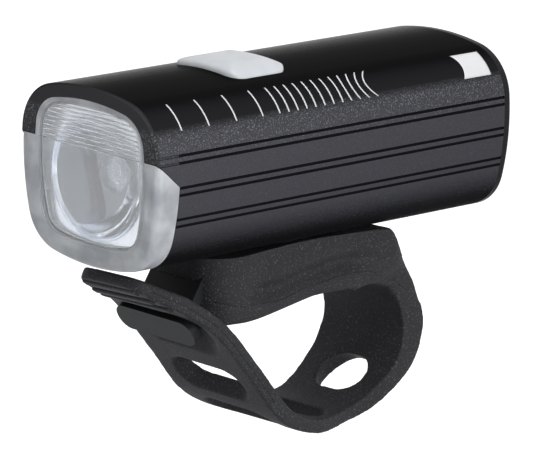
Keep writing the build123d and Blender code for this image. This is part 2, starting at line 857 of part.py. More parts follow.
# A heading of zero points along -Y, and a positive one climbs
def heading(angle):
    lean = math.radians(angle)
    return Vector(0, -math.cos(lean), math.sin(lean))


def inward(angle):
    lean = math.radians(angle)
    return Vector(0, math.sin(lean), math.cos(lean))


# Strap's inner line as runs of (radius or 0, first heading, last heading, length).
# A positive radius turns towards the bar, a negative one away from it.
def strap_runs():
    dip = leave_angle - 90
    runs = [
        (0, dip, dip, sole_run),
        (sole_round, dip, 0, math.radians(-dip) * sole_round),
        (0, 0, 0, sole_flat),
        (nose_round, 0, rise_angle, math.radians(rise_angle) * nose_round),
        (0, rise_angle, rise_angle, rise_run),
    ]
    rise_end = run_end(runs)
    across = Vector(0, -tail_reach, belly_z - tail_gap) - (rise_end - inward(rise_angle) * tail_bend)
    steep = math.degrees(math.atan2(across.Z, -across.Y))
    tail_angle = steep - math.degrees(math.asin(tail_bend / across.length))
    last_run = math.sqrt(across.length**2 - tail_bend**2)
    runs.append((-tail_bend, rise_angle, tail_angle, math.radians(rise_angle - tail_angle) * tail_bend))
    runs.append((0, tail_angle, tail_angle, last_run))
    return runs


# Where the strap leaves the bar
def leave_point():
    return -inward(leave_angle - 90) * bar_radius


# Place and heading at a distance within one run that starts at a point
def along_run(point, run, distance):
    radius, first, last, length = run
    if radius == 0:
        return point + heading(first) * distance, first
    angle = first + math.degrees(distance / radius)
    return point + (inward(first) - inward(angle)) * radius, angle


def run_end(runs):
    point = leave_point()
    for run in runs:
        point = along_run(point, run, run[3])[0]
    return point


def rise_start_distance():
    return sum(run[3] for run in strap_runs()[:4])


def strap_length():
    return sum(run[3] for run in strap_runs())


# Face of the strap's section between two distances from where it leaves the bar
def strap_band(start, end):
    point = leave_point()
    passed = 0
    inner = []
    outer = []
    for run in strap_runs():
        length = run[3]
        low = max(start - passed, 0)
        high = min(end - passed, length)
        if high > low:
            places = [along_run(point, run, share) for share in (low, (low + high) / 2, high)]
            near = [place for place, angle in places]
            far = [place - inward(angle) * strap_thickness for place, angle in places]
            if run[0] == 0:
                inner.append(Line(near[0], near[2]))
                outer.insert(0, Line(far[2], far[0]))
            else:
                inner.append(ThreePointArc(*near))
                outer.insert(0, ThreePointArc(*reversed(far)))
        point = along_run(point, run, length)[0]
        passed += length
    tip_edge = Line(inner[-1] @ 1, outer[0] @ 0)
    root_edge = Line(outer[-1] @ 1, inner[0] @ 0)
    return make_face(Wire(inner + [tip_edge] + outer + [root_edge]))


# Plane on the strap's inner face, with its normal pointing away from the bar
def strap_plane(distance, lift):
    point = leave_point()
    for run in strap_runs():
        if distance <= run[3]:
            break
        point = along_run(point, run, run[3])[0]
        distance -= run[3]
    place, angle = along_run(point, run, distance)
    return Plane(place - inward(angle) * lift, x_dir=(1, 0, 0), z_dir=-inward(angle))


def slot_tool(distance, across, along, corner):
    shape = strap_plane(distance, 0) * RectangleRounded(across, along, corner)
    return extrude(shape, amount=strap_thickness * 2, both=True)


# The strap is divided here, in the web between its two lowest slots
def hinge_distance():
    front_edge = nose_slot_place - nose_slot_along / 2
    back_edge = sole_slot_place + sole_slot_along / 2
    return rise_start_distance() + (front_edge + back_edge) / 2


# Plan of the strap, from its narrow root to its rounded tip
def strap_plan(inset):
    nose_y = leave_point().Y - sole_flat - nose_round
    right = [
        (sole_half - inset, bar_radius + rear_thickness + bulge_radius),
        (sole_half - inset, leave_point().Y - sole_run - sole_round),
        (strap_half - inset, nose_y),
        (strap_half - inset, -taper_start),
        (taper_half - inset, -taper_end),
        (tip_half - inset, -tail_reach - inset),
    ]
    left = [(-x, y) for x, y in reversed(right)]
    low = -bar_radius - nose_round
    outline = make_face(Polyline(*[(x, y, low) for x, y in right + left], close=True))
    tips = outline.vertices().sort_by(Axis.Y)
    outline = fillet(tips[:2], tip_corner)
    bends = outline.vertices().filter_by(lambda v: -taper_end - inset < v.Y < nose_y + inset)
    outline = fillet(bends.sort_by(Axis.Y)[:2], tail_bend / 2)
    return extrude(outline, amount=belly_z - low + overrun, dir=(0, 0, 1))


def make_strap_tail():
    section = strap_band(hinge_distance() + soft_gap, strap_length())
    band = extrude(section, amount=strap_half, dir=(1, 0, 0), both=True) & strap_plan(0)
    rise_start = rise_start_distance()
    band -= slot_tool(rise_start + hook_slot_place, hook_slot_across, hook_slot_along, hook_slot_corner)
    band -= slot_tool(rise_start + slot_place, slot_across, slot_along, slot_along / 2 - fit)
    band -= slot_tool(rise_start + nose_slot_place, slot_across, nose_slot_along, nose_slot_along / 2 - fit)
    for index in range(finger_ribs):
        distance = strap_length() - finger_width / 2 - finger_inset - index * finger_pitch
        plane = strap_plane(distance, strap_thickness - fit)
        rib = extrude(plane * Rectangle(strap_half * 2, finger_width), amount=finger_height + fit)
        rib = fillet(rib.edges().filter_by(Axis.X).sort_by(Axis.Z)[:2], finger_height / 3)
        band += rib & strap_plan(finger_inset)
    return band


# Shape of the block's side: a hanging front, a sagging underside and a leaning back
def block_section():
    front = -block_ahead
    top = belly_z + block_crown
    under = bar_radius * underside_shares[0][1]
    corner_z = under + block_front_round
    slant = math.sqrt(0.5)
    middle = Vector(0, front + block_front_round * (1 - slant), corner_z - block_front_round * slant)
    sag_start = Vector(0, front + block_front_round, under)
    sag = [Vector(0, front * y_share, bar_radius * z_share) for y_share, z_share in underside_shares[1:]]
    bar_top = Vector(0, 0, bar_radius)
    edges = [
        Line((0, front, top), (0, front, corner_z)),
        ThreePointArc((0, front, corner_z), middle, sag_start),
        Spline(sag_start, *sag, bar_top, tangents=[(0, 1, 0), (0, 1, 0)]),
        Line(bar_top, (0, 0, bulge_up)),
        Line((0, 0, bulge_up), (0, block_heel, bulge_up)),
        Line((0, block_heel, bulge_up), (0, block_heel, bar_radius)),
        Line((0, block_heel, bar_radius), (0, block_behind, top)),
        Line((0, block_behind, top), (0, front, top)),
    ]
    return make_face(Wire(edges))


def make_strap_saddle():
    rubber = extrude(block_section(), amount=block_half, dir=(1, 0, 0), both=True)
    back_edge = rubber.edges().filter_by(Axis.X).group_by(Axis.Z)[-1].sort_by(Axis.Y)[-1]
    rubber = fillet(back_edge, block_back_round)
    rubber &= upright(
        block_half * 2,
        block_ahead + block_heel,
        block_corner,
        (block_heel - block_ahead) / 2,
        0,
        belly_z + body_height,
    )
    bulge = rod(bulge_radius, (-block_half, bulge_back, bulge_up), (block_half, bulge_back, bulge_up))
    rubber += bulge
    rubber += loop_ring()
    section = strap_band(0, hinge_distance())
    rubber += extrude(section, amount=strap_half, dir=(1, 0, 0), both=True) & strap_plan(0)
    rubber -= rod(bar_radius, (-body_width, 0, 0), (body_width, 0, 0))
    rubber &= saddle_front_view()
    rubber -= swivel_sweep()
    rubber -= hook_pocket()
    sole_place = rise_start_distance() + sole_slot_place
    rubber -= slot_tool(sole_place, slot_across, sole_slot_along, sole_slot_along / 2 - fit)
    rubber -= slot_tool(round_hole_place, round_hole_across, round_hole_along, round_hole_along / 2 - fit)
    return rubber


# The rubber behind the bar, down to where the strap leaves it
def loop_ring():
    leave = leave_point()
    outer = leave.normalized() * (bar_radius + rear_thickness)
    lean = math.radians(leave_angle / 2)
    reach = bar_radius + rear_thickness
    middle = Vector(0, math.cos(lean), -math.sin(lean)) * reach
    edges = [
        Line((0, 0, 0), outer),
        ThreePointArc(outer, middle, (0, reach, 0)),
        Line((0, reach, 0), (0, 0, 0)),
    ]
    return extrude(make_face(Wire(edges)), amount=sole_half, dir=(1, 0, 0), both=True)


# Width of block and strap seen from the front: narrowest behind the bar
def saddle_front_view():
    rear = [
        (sole_half, bar_radius * waist_shares[0]),
        (waist_half, bar_radius * waist_shares[1]),
        (waist_half, bar_radius * waist_shares[2]),
        (block_half, bar_radius),
    ]
    low = -bar_radius - nose_round
    high = belly_z + body_height
    curve = Spline(*[(x, 0, z) for x, z in rear], tangents=[(0, 0, 1), (0, 0, 1)])
    mirrored = Spline(*[(-x, 0, z) for x, z in reversed(rear)], tangents=[(0, 0, -1), (0, 0, -1)])
    edges = [
        Line((strap_half, 0, low), (strap_half, 0, rear[0][1])),
        Line((strap_half, 0, rear[0][1]), curve @ 0),
        curve,
        Line(curve @ 1, (block_half, 0, high)),
        Line((block_half, 0, high), (-block_half, 0, high)),
        Line((-block_half, 0, high), mirrored @ 0),
        mirrored,
        Line(mirrored @ 1, (-strap_half, 0, rear[0][1])),
        Line((-strap_half, 0, rear[0][1]), (-strap_half, 0, low)),
        Line((-strap_half, 0, low), (strap_half, 0, low)),
    ]
    return extrude(make_face(Wire(edges)), amount=body_length, dir=rearward, both=True)


# Space that the light's belly sweeps as it turns on its foot
def swivel_sweep():
    belly = body_outline.prism(-soft_gap, front_y - body_width, rear_y + body_width)
    sweep = belly
    for share in swivel_shares:
        turned = Pos(0, pivot_y, 0) * Rot(0, 0, share * swivel_range) * Pos(0, -pivot_y, 0) * belly
        sweep += turned
    sweep += rod(foot_radius + soft_gap, (0, pivot_y, foot_z - running), (0, pivot_y, mid_z))
    return sweep


# Room in the rubber for the hook plate, and the way in for the pivot screw
def hook_pocket():
    pocket = make_hook_plate() + rod(spigot_radius + fit, (0, pivot_y, plate_low), (0, pivot_y, plate_top))
    way = rod(washer_radius + soft_gap, (0, pivot_y, 0), (0, pivot_y, plate_low))
    return pocket + way


pieces = {
    "housing": make_housing,
    "lens_cover": make_lens_cover,
    "lens_gasket": make_lens_gasket,
    "optic": make_optic,
    "optic_frame": make_optic_frame,
    "led_emitter": make_led_emitter,
    "led_board": make_led_board,
    "board_screws": make_board_screws,
    "heat_sink": make_heat_sink,
    "battery_cell": make_battery_cell,
    "battery_tabs": make_battery_tabs,
    "battery_cradle": make_battery_cradle,
    "driver_board": make_driver_board,
    "switch_body": make_switch_body,
    "switch_plunger": make_switch_plunger,
    "status_leds": make_status_leds,
    "button_cap": make_button_cap,
    "button_frame": make_button_frame,
    "usb_socket": make_usb_socket,
    "rear_cap": make_rear_cap,
    "rear_gasket": make_rear_gasket,
    "rear_screws": make_rear_screws,
    "port_cover": make_port_cover,
    "pivot_foot": make_pivot_foot,
    "pivot_washer": make_pivot_washer,
    "pivot_screw": make_pivot_screw,
    "hook_plate": make_hook_plate,
    "strap_saddle": make_strap_saddle,
    "strap_tail": make_strap_tail,
}

for name, make in pieces.items():
    export_step(make(), "parts/" + name + ".step")
    print("made", name)
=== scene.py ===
import bmesh
import bpy
from math import cos, exp, radians, sin
from mathutils import Matrix, Vector
from mathutils.bvhtree import BVHTree


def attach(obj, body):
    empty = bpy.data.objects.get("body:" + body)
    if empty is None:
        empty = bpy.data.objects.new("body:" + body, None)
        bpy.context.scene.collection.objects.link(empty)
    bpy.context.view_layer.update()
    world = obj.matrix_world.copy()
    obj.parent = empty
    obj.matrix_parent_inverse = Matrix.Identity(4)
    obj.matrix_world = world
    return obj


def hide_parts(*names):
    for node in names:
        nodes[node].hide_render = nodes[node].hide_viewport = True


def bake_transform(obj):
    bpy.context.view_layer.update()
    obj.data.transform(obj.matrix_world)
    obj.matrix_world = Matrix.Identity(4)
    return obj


# Bicycle headlight on a rubber handlebar strap.
# The beam points along -Y, +Z is up and the handlebar runs along X. The scene is in metres.
# The dictionaries hold millimetres, apart from the floor, the lamps and the camera.

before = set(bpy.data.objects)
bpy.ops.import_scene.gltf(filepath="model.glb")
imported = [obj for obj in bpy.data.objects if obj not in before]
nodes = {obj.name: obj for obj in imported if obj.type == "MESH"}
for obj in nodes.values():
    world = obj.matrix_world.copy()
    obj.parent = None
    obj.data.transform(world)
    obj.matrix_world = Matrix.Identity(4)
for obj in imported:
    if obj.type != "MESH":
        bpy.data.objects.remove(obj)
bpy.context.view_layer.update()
mm = 0.001
midY = -16.8 * mm  # middle of the light's body
midZ = 42.1 * mm  # its widest level
print("frame loaded:", len(nodes), "nodes")


# From an sRGB hex value to the linear colour that shaders take
def linear(hexColour):
    channels = [int(hexColour[i:i + 2], 16) / 255 for i in (1, 3, 5)]
    return [c / 12.92 if c <= 0.04045 else ((c + 0.055) / 1.055) ** 2.4 for c in channels] + [1.0]


# Fills a node's inputs, by name or in their order. A value is set, and a node or socket is linked.
def feed(tree, node, inputs):
    for key, value in inputs.items() if isinstance(inputs, dict) else enumerate(inputs):
        if isinstance(value, bpy.types.Node):
            value = value.outputs[0]
        if isinstance(value, bpy.types.NodeSocket):
            tree.links.new(value, node.inputs[key])
        else:
            node.inputs[key].default_value = value


# Adds one shader node with its settings and inputs. In a Mix node the colours are 6 and 7, and 2 comes out.
def addNode(tree, kind, inputs=(), **settings):
    node = tree.nodes.new("ShaderNode" + kind)
    for name, value in settings.items():
        setattr(node, name, value)
    feed(tree, node, inputs)
    return node


def newMaterial(name):
    material = bpy.data.materials.new(name)
    material.use_nodes = True
    return material, material.node_tree, material.node_tree.nodes["Principled BSDF"]


# Anodised aluminium extrusion. Its smooth top is deep black with one soft highlight. The bead-blasted sides are
# a lighter grey, partly their own tone and partly painted light, with painted glints that die away downwards; the belly
# is darker as painted shade, and the grooves are thin black lines of painted shade.
anodisedLook = {
    "smoothBlack": "#252527",
    # partly painted light: the blasted side's lighter grey is partly its own tone and partly the light that falls on it
    "blastedToneAndLight": "#3b3b3f",
    "bellyBlack": "#1e1e20",  # painted shade: the underside is drawn darker, where less light reaches it
    "faceBlack": "#303032",  # the hood's cut front face is matte
    # painted highlights: the colour of the glint dots on the blasted grain
    "paintedGlint": "#85878d",
    # painted shade in the grooves
    "paintedGrooveShade": "#151517",
    "metallic": 0.94,  # with a full 1 the sides turn pure black at a low angle
    "edgeTint": 0.2,  # dyed oxide mirrors little at a low angle
    "roughness": (0.24, 0.5),  # smooth, then blasted
    "grainMm": 0.26,  # blasting is nearer 0.1 mm; drawn coarser so that it shows
    "grainDepth": 0.03,
    "glintRange": (0.55, 0.7),  # grain values of no painted glint and of a full one
    "blastTop": 51.0,  # level where the blasted side begins
    "blastEdge": 0.8,
    "glintFade": 44.5,  # the painted glints weaken from the side's top down to here, where less light falls
    "glintLeft": 0.12,  # share of them that is left
    "belly": (26.0, 32.0),
    "facePlane": -64.8,
    "faceEdge": 0.1,
    "grooves": (46.55, 45.15),  # levels of the upper pair; the other pairs lie one pitch apart
    "groovePitch": 6.2,
    "grooveHalf": (0.32, 0.2),  # half width, where the black ends and where it is full
    "grooveReach": (31.6, 48.0),
    "grooveEdge": 0.3,
    "collarEnd": -59.5,  # no black is drawn ahead of this
    "collarEdge": 0.2,
}


# 1 in the fine grooves, where shade is painted
def grooveShadeMask(tree, axes):
    look = anodisedLook
    pitch = look["groovePitch"] * mm
    outer, inner = look["grooveHalf"]
    lines = []
    for level in look["grooves"]:
        away = addNode(tree, "Math", (axes["Z"], level * mm), operation="SUBTRACT")
        away = addNode(tree, "Math", (away, pitch / 2, -pitch / 2), operation="WRAP")
        away = addNode(tree, "Math", (away,), operation="ABSOLUTE")
        lines.append(addNode(tree, "MapRange", (away, outer * mm, inner * mm)))
    shade = addNode(tree, "Math", lines, operation="MAXIMUM")
    low, high = look["grooveReach"]
    limits = (
        ("Z", low - look["grooveEdge"], low),
        ("Z", high, high - look["grooveEdge"]),
        ("Y", look["collarEnd"] - look["collarEdge"], look["collarEnd"]),
    )
    for axis, start, end in limits:
        inside = addNode(tree, "MapRange", (axes[axis], start * mm, end * mm))
        shade = addNode(tree, "Math", (shade, inside), operation="MULTIPLY")
    return shade


def anodisedAluminium():
    look = anodisedLook
    material, tree, shader = newMaterial("anodisedAluminium")
    place = addNode(tree, "TexCoord").outputs["Object"]
    axes = addNode(tree, "SeparateXYZ", (place,)).outputs
    fine = addNode(tree, "TexNoise", {"Vector": place, "Scale": 1 / (look["grainMm"] * mm)})

    # Zones: the blasted side, the cut front face, and the belly with its painted shade
    top, edge = look["blastTop"], look["blastEdge"]
    side = addNode(tree, "MapRange", (axes["Z"], (top + edge) * mm, (top - edge) * mm))
    plane = look["facePlane"]
    face = addNode(tree, "MapRange", (axes["Y"], (plane + look["faceEdge"]) * mm, plane * mm))
    # Painted shade: the colour turns darker over the belly, below these levels
    low, high = look["belly"]
    belly = addNode(tree, "MapRange", (axes["Z"], high * mm, low * mm))

    # Painted highlights: glint dots on the grain, fading down the side where less light falls
    paintedGlints = addNode(tree, "MapRange", (fine, *look["glintRange"]))
    fade = addNode(tree, "MapRange", (axes["Z"], look["glintFade"] * mm, top * mm, look["glintLeft"], 1.0))
    for share in (fade, side):
        paintedGlints = addNode(tree, "Math", (paintedGlints, share), operation="MULTIPLY")

    ground = linear(look["smoothBlack"])
    layers = (
        (side, "blastedToneAndLight"),
        (belly, "bellyBlack"),
        (face, "faceBlack"),
        (paintedGlints, "paintedGlint"),
        (grooveShadeMask(tree, axes), "paintedGrooveShade"),
    )
    for share, colour in layers:
        keys = {0: share, 6: ground, 7: linear(look[colour])}
        ground = addNode(tree, "Mix", keys, data_type="RGBA").outputs[2]
    matte = addNode(tree, "Math", (side, face), operation="MAXIMUM")
    heights = addNode(tree, "Math", (fine, side), operation="MULTIPLY")
    feed(tree, shader, {
        "Metallic": look["metallic"],
        "Specular Tint": (*[look["edgeTint"]] * 3, 1),
        "Base Color": ground,
        "Roughness": addNode(tree, "MapRange", (matte, 0, 1, *look["roughness"])),
        "Normal": addNode(tree, "Bump", {"Height": heights, "Distance": look["grainDepth"] * mm}),
    })
    return material


# Moulded synthetic rubber, eroded by its mould: dull and dark, with fine dots of painted highlight on its grain
rubberLook = {
    "worn": "#232326",
    "roughness": 0.66,
    "ior": 1.45,
    "specular": 0.22,
    "grainMm": 0.32,  # the mould's texture is nearer 0.1 mm; drawn coarser so that it shows
    "grainDepth": 0.06,
    "highlightDotRange": (0.58, 0.73),
    "cloudMm": 6.0,
    "cloudRange": (0.35, 0.7),
}


def mouldedRubber(name, ground, highlightDots):
    look = rubberLook
    material, tree, shader = newMaterial(name)
    place = addNode(tree, "TexCoord").outputs["Object"]
    fine = addNode(tree, "TexNoise", {"Vector": place, "Scale": 1 / (look["grainMm"] * mm)})
    broad = addNode(tree, "TexNoise", {"Vector": place, "Scale": 1 / (look["cloudMm"] * mm)})
    # Painted highlights: the brightest grain gets the lighter dot colour
    highlightShare = addNode(tree, "MapRange", (fine, *look["highlightDotRange"]))
    cloud = addNode(tree, "MapRange", (broad, *look["cloudRange"]))
    colour = linear(ground)
    for share, second in ((cloud, look["worn"]), (highlightShare, highlightDots)):
        keys = {0: share, 6: colour, 7: linear(second)}
        colour = addNode(tree, "Mix", keys, data_type="RGBA").outputs[2]
    feed(tree, shader, {
        "Base Color": colour,
        "Roughness": look["roughness"],
        "IOR": look["ior"],
        "Specular IOR Level": look["specular"],
        "Normal": addNode(tree, "Bump", {"Height": fine, "Distance": look["grainDepth"] * mm}),
    })
    return material


# Injection-moulded nylon: satin and near black, a little smoother than the rubber round it
nylonLook = {
    "colours": ("#18191b", "#1d1e20"),
    "roughness": 0.42,
    "ior": 1.53,
    "specular": 0.1,
    "grainMm": 0.5,
    "grainDepth": 0.01,
    "cloudRange": (0.4, 0.7),
}


def mouldedNylon():
    look = nylonLook
    material, tree, shader = newMaterial("mouldedNylon")
    place = addNode(tree, "TexCoord").outputs["Object"]
    fine = addNode(tree, "TexNoise", {"Vector": place, "Scale": 1 / (look["grainMm"] * mm)})
    first, second = (linear(colour) for colour in look["colours"])
    keys = {0: addNode(tree, "MapRange", (fine, *look["cloudRange"])), 6: first, 7: second}
    feed(tree, shader, {
        "Base Color": addNode(tree, "Mix", keys, data_type="RGBA").outputs[2],
        "Roughness": look["roughness"],
        "IOR": look["ior"],
        "Specular IOR Level": look["specular"],
        "Normal": addNode(tree, "Bump", {"Height": fine, "Distance": look["grainDepth"] * mm}),
    })
    return material


# Moulded polycarbonate. The polished window is clear with a faint haze, so its flutes and the optic
# show. The frosted skirt and rim round it are milky grey with soft clouds.
coverLook = {
    "clearColour": "#fafcff",
    "milkColours": ("#b9bdc3", "#e6e9ec"),
    "ior": 1.585,
    "windowHalf": 13.8,
    "windowMiddle": 39.8,
    "windowRise": 13.1,
    "windowPower": 4.5,  # a higher one makes squarer corners
    "frostRange": (0.97, 1.06),  # where the frost begins and where it is full, in window sizes
    "frost": 0.3,  # roughness of the frosted part
    "milk": 0.46,  # share of its light that doesn't pass
    "haze": 0.12,  # the same in the window
    "grainMm": 0.35,
    "grainDepth": 0.02,
    "cloudMm": 4.5,
    "cloudRange": (0.35, 0.65),
}


def polycarbonateCover():
    look = coverLook
    material, tree, shader = newMaterial("polycarbonateCover")
    place = addNode(tree, "TexCoord").outputs["Object"]
    axes = addNode(tree, "SeparateXYZ", (place,)).outputs

    # Frost outside a rounded square round the lens
    across = addNode(tree, "Math", (axes["X"], look["windowHalf"] * mm), operation="DIVIDE")
    up = addNode(tree, "Math", (axes["Z"], look["windowMiddle"] * mm), operation="SUBTRACT")
    up = addNode(tree, "Math", (up, look["windowRise"] * mm), operation="DIVIDE")
    powers = []
    for part in (across, up):
        size = addNode(tree, "Math", (part,), operation="ABSOLUTE")
        powers.append(addNode(tree, "Math", (size, look["windowPower"]), operation="POWER"))
    reach = addNode(tree, "Math", powers, operation="ADD")
    frosted = addNode(tree, "MapRange", (reach, *look["frostRange"]))

    fine = addNode(tree, "TexNoise", {"Vector": place, "Scale": 1 / (look["grainMm"] * mm)})
    broad = addNode(tree, "TexNoise", {"Vector": place, "Scale": 1 / (look["cloudMm"] * mm)})
    dark, light = (linear(colour) for colour in look["milkColours"])
    keys = {0: addNode(tree, "MapRange", (broad, *look["cloudRange"])), 6: dark, 7: light}
    milk = addNode(tree, "Mix", keys, data_type="RGBA").outputs[2]
    keys = {0: frosted, 6: linear(look["clearColour"]), 7: milk}
    heights = addNode(tree, "Math", (fine, frosted), operation="MULTIPLY")
    feed(tree, shader, {
        "IOR": look["ior"],
        "Base Color": addNode(tree, "Mix", keys, data_type="RGBA").outputs[2],
        "Roughness": addNode(tree, "MapRange", (frosted, 0, 1, 0.0, look["frost"])),
        "Transmission Weight": addNode(tree, "MapRange", (frosted, 0, 1, 1 - look["haze"], 1 - look["milk"])),
        "Normal": addNode(tree, "Bump", {"Height": heights, "Distance": look["grainDepth"] * mm}),
    })
    return material


# Moulded acrylic optic: clear and bright, with a pebbled disc in the middle that scatters light
opticLook = {
    "colour": "#f3f8ff",
    "ior": 1.49,
    "axisLevel": 39.45,
    "disc": (3.9, 3.6),  # radius, where the disc ends and where it is full
    "roughness": (0.03, 0.3),  # clear, then in the disc
    "pebbleMm": 0.55,
    "pebbleDepth": 0.2,
}


def acrylicOptic():
    look = opticLook
    material, tree, shader = newMaterial("acrylicOptic")
    place = addNode(tree, "TexCoord").outputs["Object"]
    axes = addNode(tree, "SeparateXYZ", (place,)).outputs
    flat = addNode(tree, "CombineXYZ", {"X": axes["X"], "Z": axes["Z"]})
    axis = (0, 0, look["axisLevel"] * mm)
    away = addNode(tree, "VectorMath", (flat, axis), operation="DISTANCE").outputs["Value"]
    outer, inner = look["disc"]
    disc = addNode(tree, "MapRange", (away, outer * mm, inner * mm))
    pebbles = addNode(tree, "TexVoronoi", {"Vector": place, "Scale": 1 / (look["pebbleMm"] * mm)})
    heights = addNode(tree, "Math", (pebbles, disc), operation="MULTIPLY")
    feed(tree, shader, {
        "Base Color": linear(look["colour"]),
        "IOR": look["ior"],
        "Transmission Weight": 1.0,
        "Roughness": addNode(tree, "MapRange", (disc, 0, 1, *look["roughness"])),
        "Normal": addNode(tree, "Bump", {"Height": heights, "Distance": look["pebbleDepth"] * mm}),
    })
    return material


# Moulded silicone pad: milky and satin, and a little light spreads inside it at its edges
siliconeLook = {
    "colours": ("#a9adb1", "#b6b9bc"),
    "roughness": 0.38,
    "ior": 1.43,
    "specular": 0.4,
    "spread": 0.35,  # share of the light that goes in
    "spreadMm": 1.2,
    "cloudMm": 3.0,
    "grainMm": 0.4,
    "grainDepth": 0.008,
}


def milkySilicone():
    look = siliconeLook
    material, tree, shader = newMaterial("milkySilicone")
    place = addNode(tree, "TexCoord").outputs["Object"]
    broad = addNode(tree, "TexNoise", {"Vector": place, "Scale": 1 / (look["cloudMm"] * mm)})
    fine = addNode(tree, "TexNoise", {"Vector": place, "Scale": 1 / (look["grainMm"] * mm)})
    first, second = (linear(colour) for colour in look["colours"])
    feed(tree, shader, {
        "Base Color": addNode(tree, "Mix", {0: broad, 6: first, 7: second}, data_type="RGBA").outputs[2],
        "Roughness": look["roughness"],
        "IOR": look["ior"],
        "Specular IOR Level": look["specular"],
        "Subsurface Weight": look["spread"],
        "Subsurface Radius": (1.0, 1.0, 1.0),
        "Subsurface Scale": look["spreadMm"] * mm,
        "Normal": addNode(tree, "Bump", {"Height": fine, "Distance": look["grainDepth"] * mm}),
    })
    return material


# Plain finishes: two close colours, the size of their grain, roughness, metallic, specular level
plainLooks = {
    # polished plastic: glossy near black, with hardly a highlight
    "glossyABS": ("#1d1d1f", "#242426", 2.0, 0.3, 0.0, 0.03),
    # plastic as moulded: an even dull black
    "mouldedABS": ("#1a1a1c", "#232326", 0.8, 0.5, 0.0, 0.5),
    # plastic with an aluminium skin: a bright mirror that fills the optic with pale light
    "aluminisedABS": ("#eff3f8", "#f8fafd", 1.2, 0.22, 1.0, 0.5),
    # rolled and zinc plated: mid grey with a soft shine
    "zincPlatedSteel": ("#8f9093", "#a9aaad", 0.6, 0.3, 1.0, 0.5),
    # machined and left bare: paler than the steel
    "machinedAluminium": ("#b5b7ba", "#c9cbce", 0.5, 0.28, 1.0, 0.5),
    # cured silicone full of phosphor: a dull warm yellow
    "phosphorSilicone": ("#d9b53a", "#e8c95a", 0.3, 0.5, 0.0, 0.5),
    # printed lacquer on a circuit board: satin green
    "solderMask": ("#114a2a", "#17603a", 0.5, 0.35, 0.0, 0.5),
    # the same in white, on the lamp's board: bright round the lamp
    "whiteSolderMask": ("#e6e6e2", "#f0f0ee", 0.5, 0.4, 0.0, 0.5),
    # shrunk plastic film: glossy blue
    "shrinkWrap": ("#1d4f91", "#2860a8", 1.5, 0.25, 0.0, 0.5),
    # screen-printed ink: pale grey and dull, crisp against the black
    "printedInk": ("#b9babc", "#c4c5c7", 0.3, 0.45, 0.0, 0.5),
}
plainDepth = 0.005  # the grain's relief


def plainFinish(name):
    colour, second, grainMm, roughness, metallic, specular = plainLooks[name]
    material, tree, shader = newMaterial(name)
    place = addNode(tree, "TexCoord").outputs["Object"]
    fine = addNode(tree, "TexNoise", {"Vector": place, "Scale": 1 / (grainMm * mm)})
    keys = {0: fine, 6: linear(colour), 7: linear(second)}
    feed(tree, shader, {
        "Base Color": addNode(tree, "Mix", keys, data_type="RGBA").outputs[2],
        "Roughness": roughness,
        "Metallic": metallic,
        "Specular IOR Level": specular,
        "Normal": addNode(tree, "Bump", {"Height": fine, "Distance": plainDepth * mm}),
    })
    return material


# Gives CAD nodes one material
def dress(material, *names):
    for name in names:
        slots = nodes[name].data.materials
        if len(slots) == 0:
            slots.append(material)
        for index in range(len(slots)):
            slots[index] = material


strapRubber = mouldedRubber("mouldedRubber", "#1e1e21", "#505156")
sealRubber = mouldedRubber("sealRubber", "#101012", "#2a2a2d")  # blacker than the strap, with faint painted highlight dots
silicone = milkySilicone()

dress(anodisedAluminium(), "housing")
dress(polycarbonateCover(), "lens_cover")
dress(acrylicOptic(), "optic")
dress(silicone, "button_cap")
dress(plainFinish("glossyABS"), "rear_cap")
dress(mouldedNylon(), "hook_plate")
dress(plainFinish("aluminisedABS"), "optic_frame")
dress(sealRubber, "lens_gasket", "rear_gasket", "port_cover")
dress(plainFinish("mouldedABS"), "battery_cradle", "switch_body", "switch_plunger", "button_frame", "pivot_foot")
dress(plainFinish("zincPlatedSteel"), "board_screws", "battery_tabs", "usb_socket", "rear_screws", "pivot_washer",
      "pivot_screw")
dress(plainFinish("machinedAluminium"), "heat_sink")
dress(plainFinish("phosphorSilicone"), "led_emitter")
dress(plainFinish("solderMask"), "driver_board")
dress(plainFinish("whiteSolderMask"), "led_board", "status_leds")
dress(plainFinish("shrinkWrap"), "battery_cell")
print("finishes made")

mergeReach = 0.002 * mm  # corners of a CAD mesh that are nearer than this are one
smoothFactor = 0.5  # how far each smoothing step goes


# Turns a bmesh into a mesh and frees it
def meshFrom(bm, name):
    mesh = bpy.data.meshes.new(name)
    bm.to_mesh(mesh)
    bm.free()
    return mesh


def newObject(name, data):
    obj = bpy.data.objects.new(name, data)
    bpy.context.scene.collection.objects.link(obj)
    return obj


# The mesh of an object with its modifiers applied
def appliedMesh(obj):
    return bpy.data.meshes.new_from_object(obj.evaluated_get(bpy.context.evaluated_depsgraph_get()))


# Turns a bmesh into a named smooth piece that rides on a body
def finishPiece(bm, name, material, body):
    mesh = meshFrom(bm, name)
    for polygon in mesh.polygons:
        polygon.use_smooth = True
    mesh.materials.clear()  # this also clears the faces' old slot numbers
    mesh.materials.append(material)
    obj = newObject(name, mesh)
    if body:
        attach(obj, body)
    return obj


# A merged copy of a CAD node's mesh
def nodeMesh(name):
    bm = bmesh.new()
    bm.from_mesh(nodes[name].data)
    bmesh.ops.remove_doubles(bm, verts=bm.verts, dist=mergeReach)
    return bm


# One closed skin over everything in a bmesh, then smoothed
def remeshed(bm, voxel, smoothing):
    draft = newObject("draft", meshFrom(bm, "draft"))
    remesh = draft.modifiers.new("Remesh", "REMESH")
    remesh.mode = "VOXEL"
    remesh.voxel_size = voxel * mm
    smooth = draft.modifiers.new("Smooth", "SMOOTH")
    smooth.factor = smoothFactor
    smooth.iterations = smoothing
    skin = bmesh.new()
    skin.from_mesh(appliedMesh(draft))
    bpy.data.objects.remove(draft)
    return skin


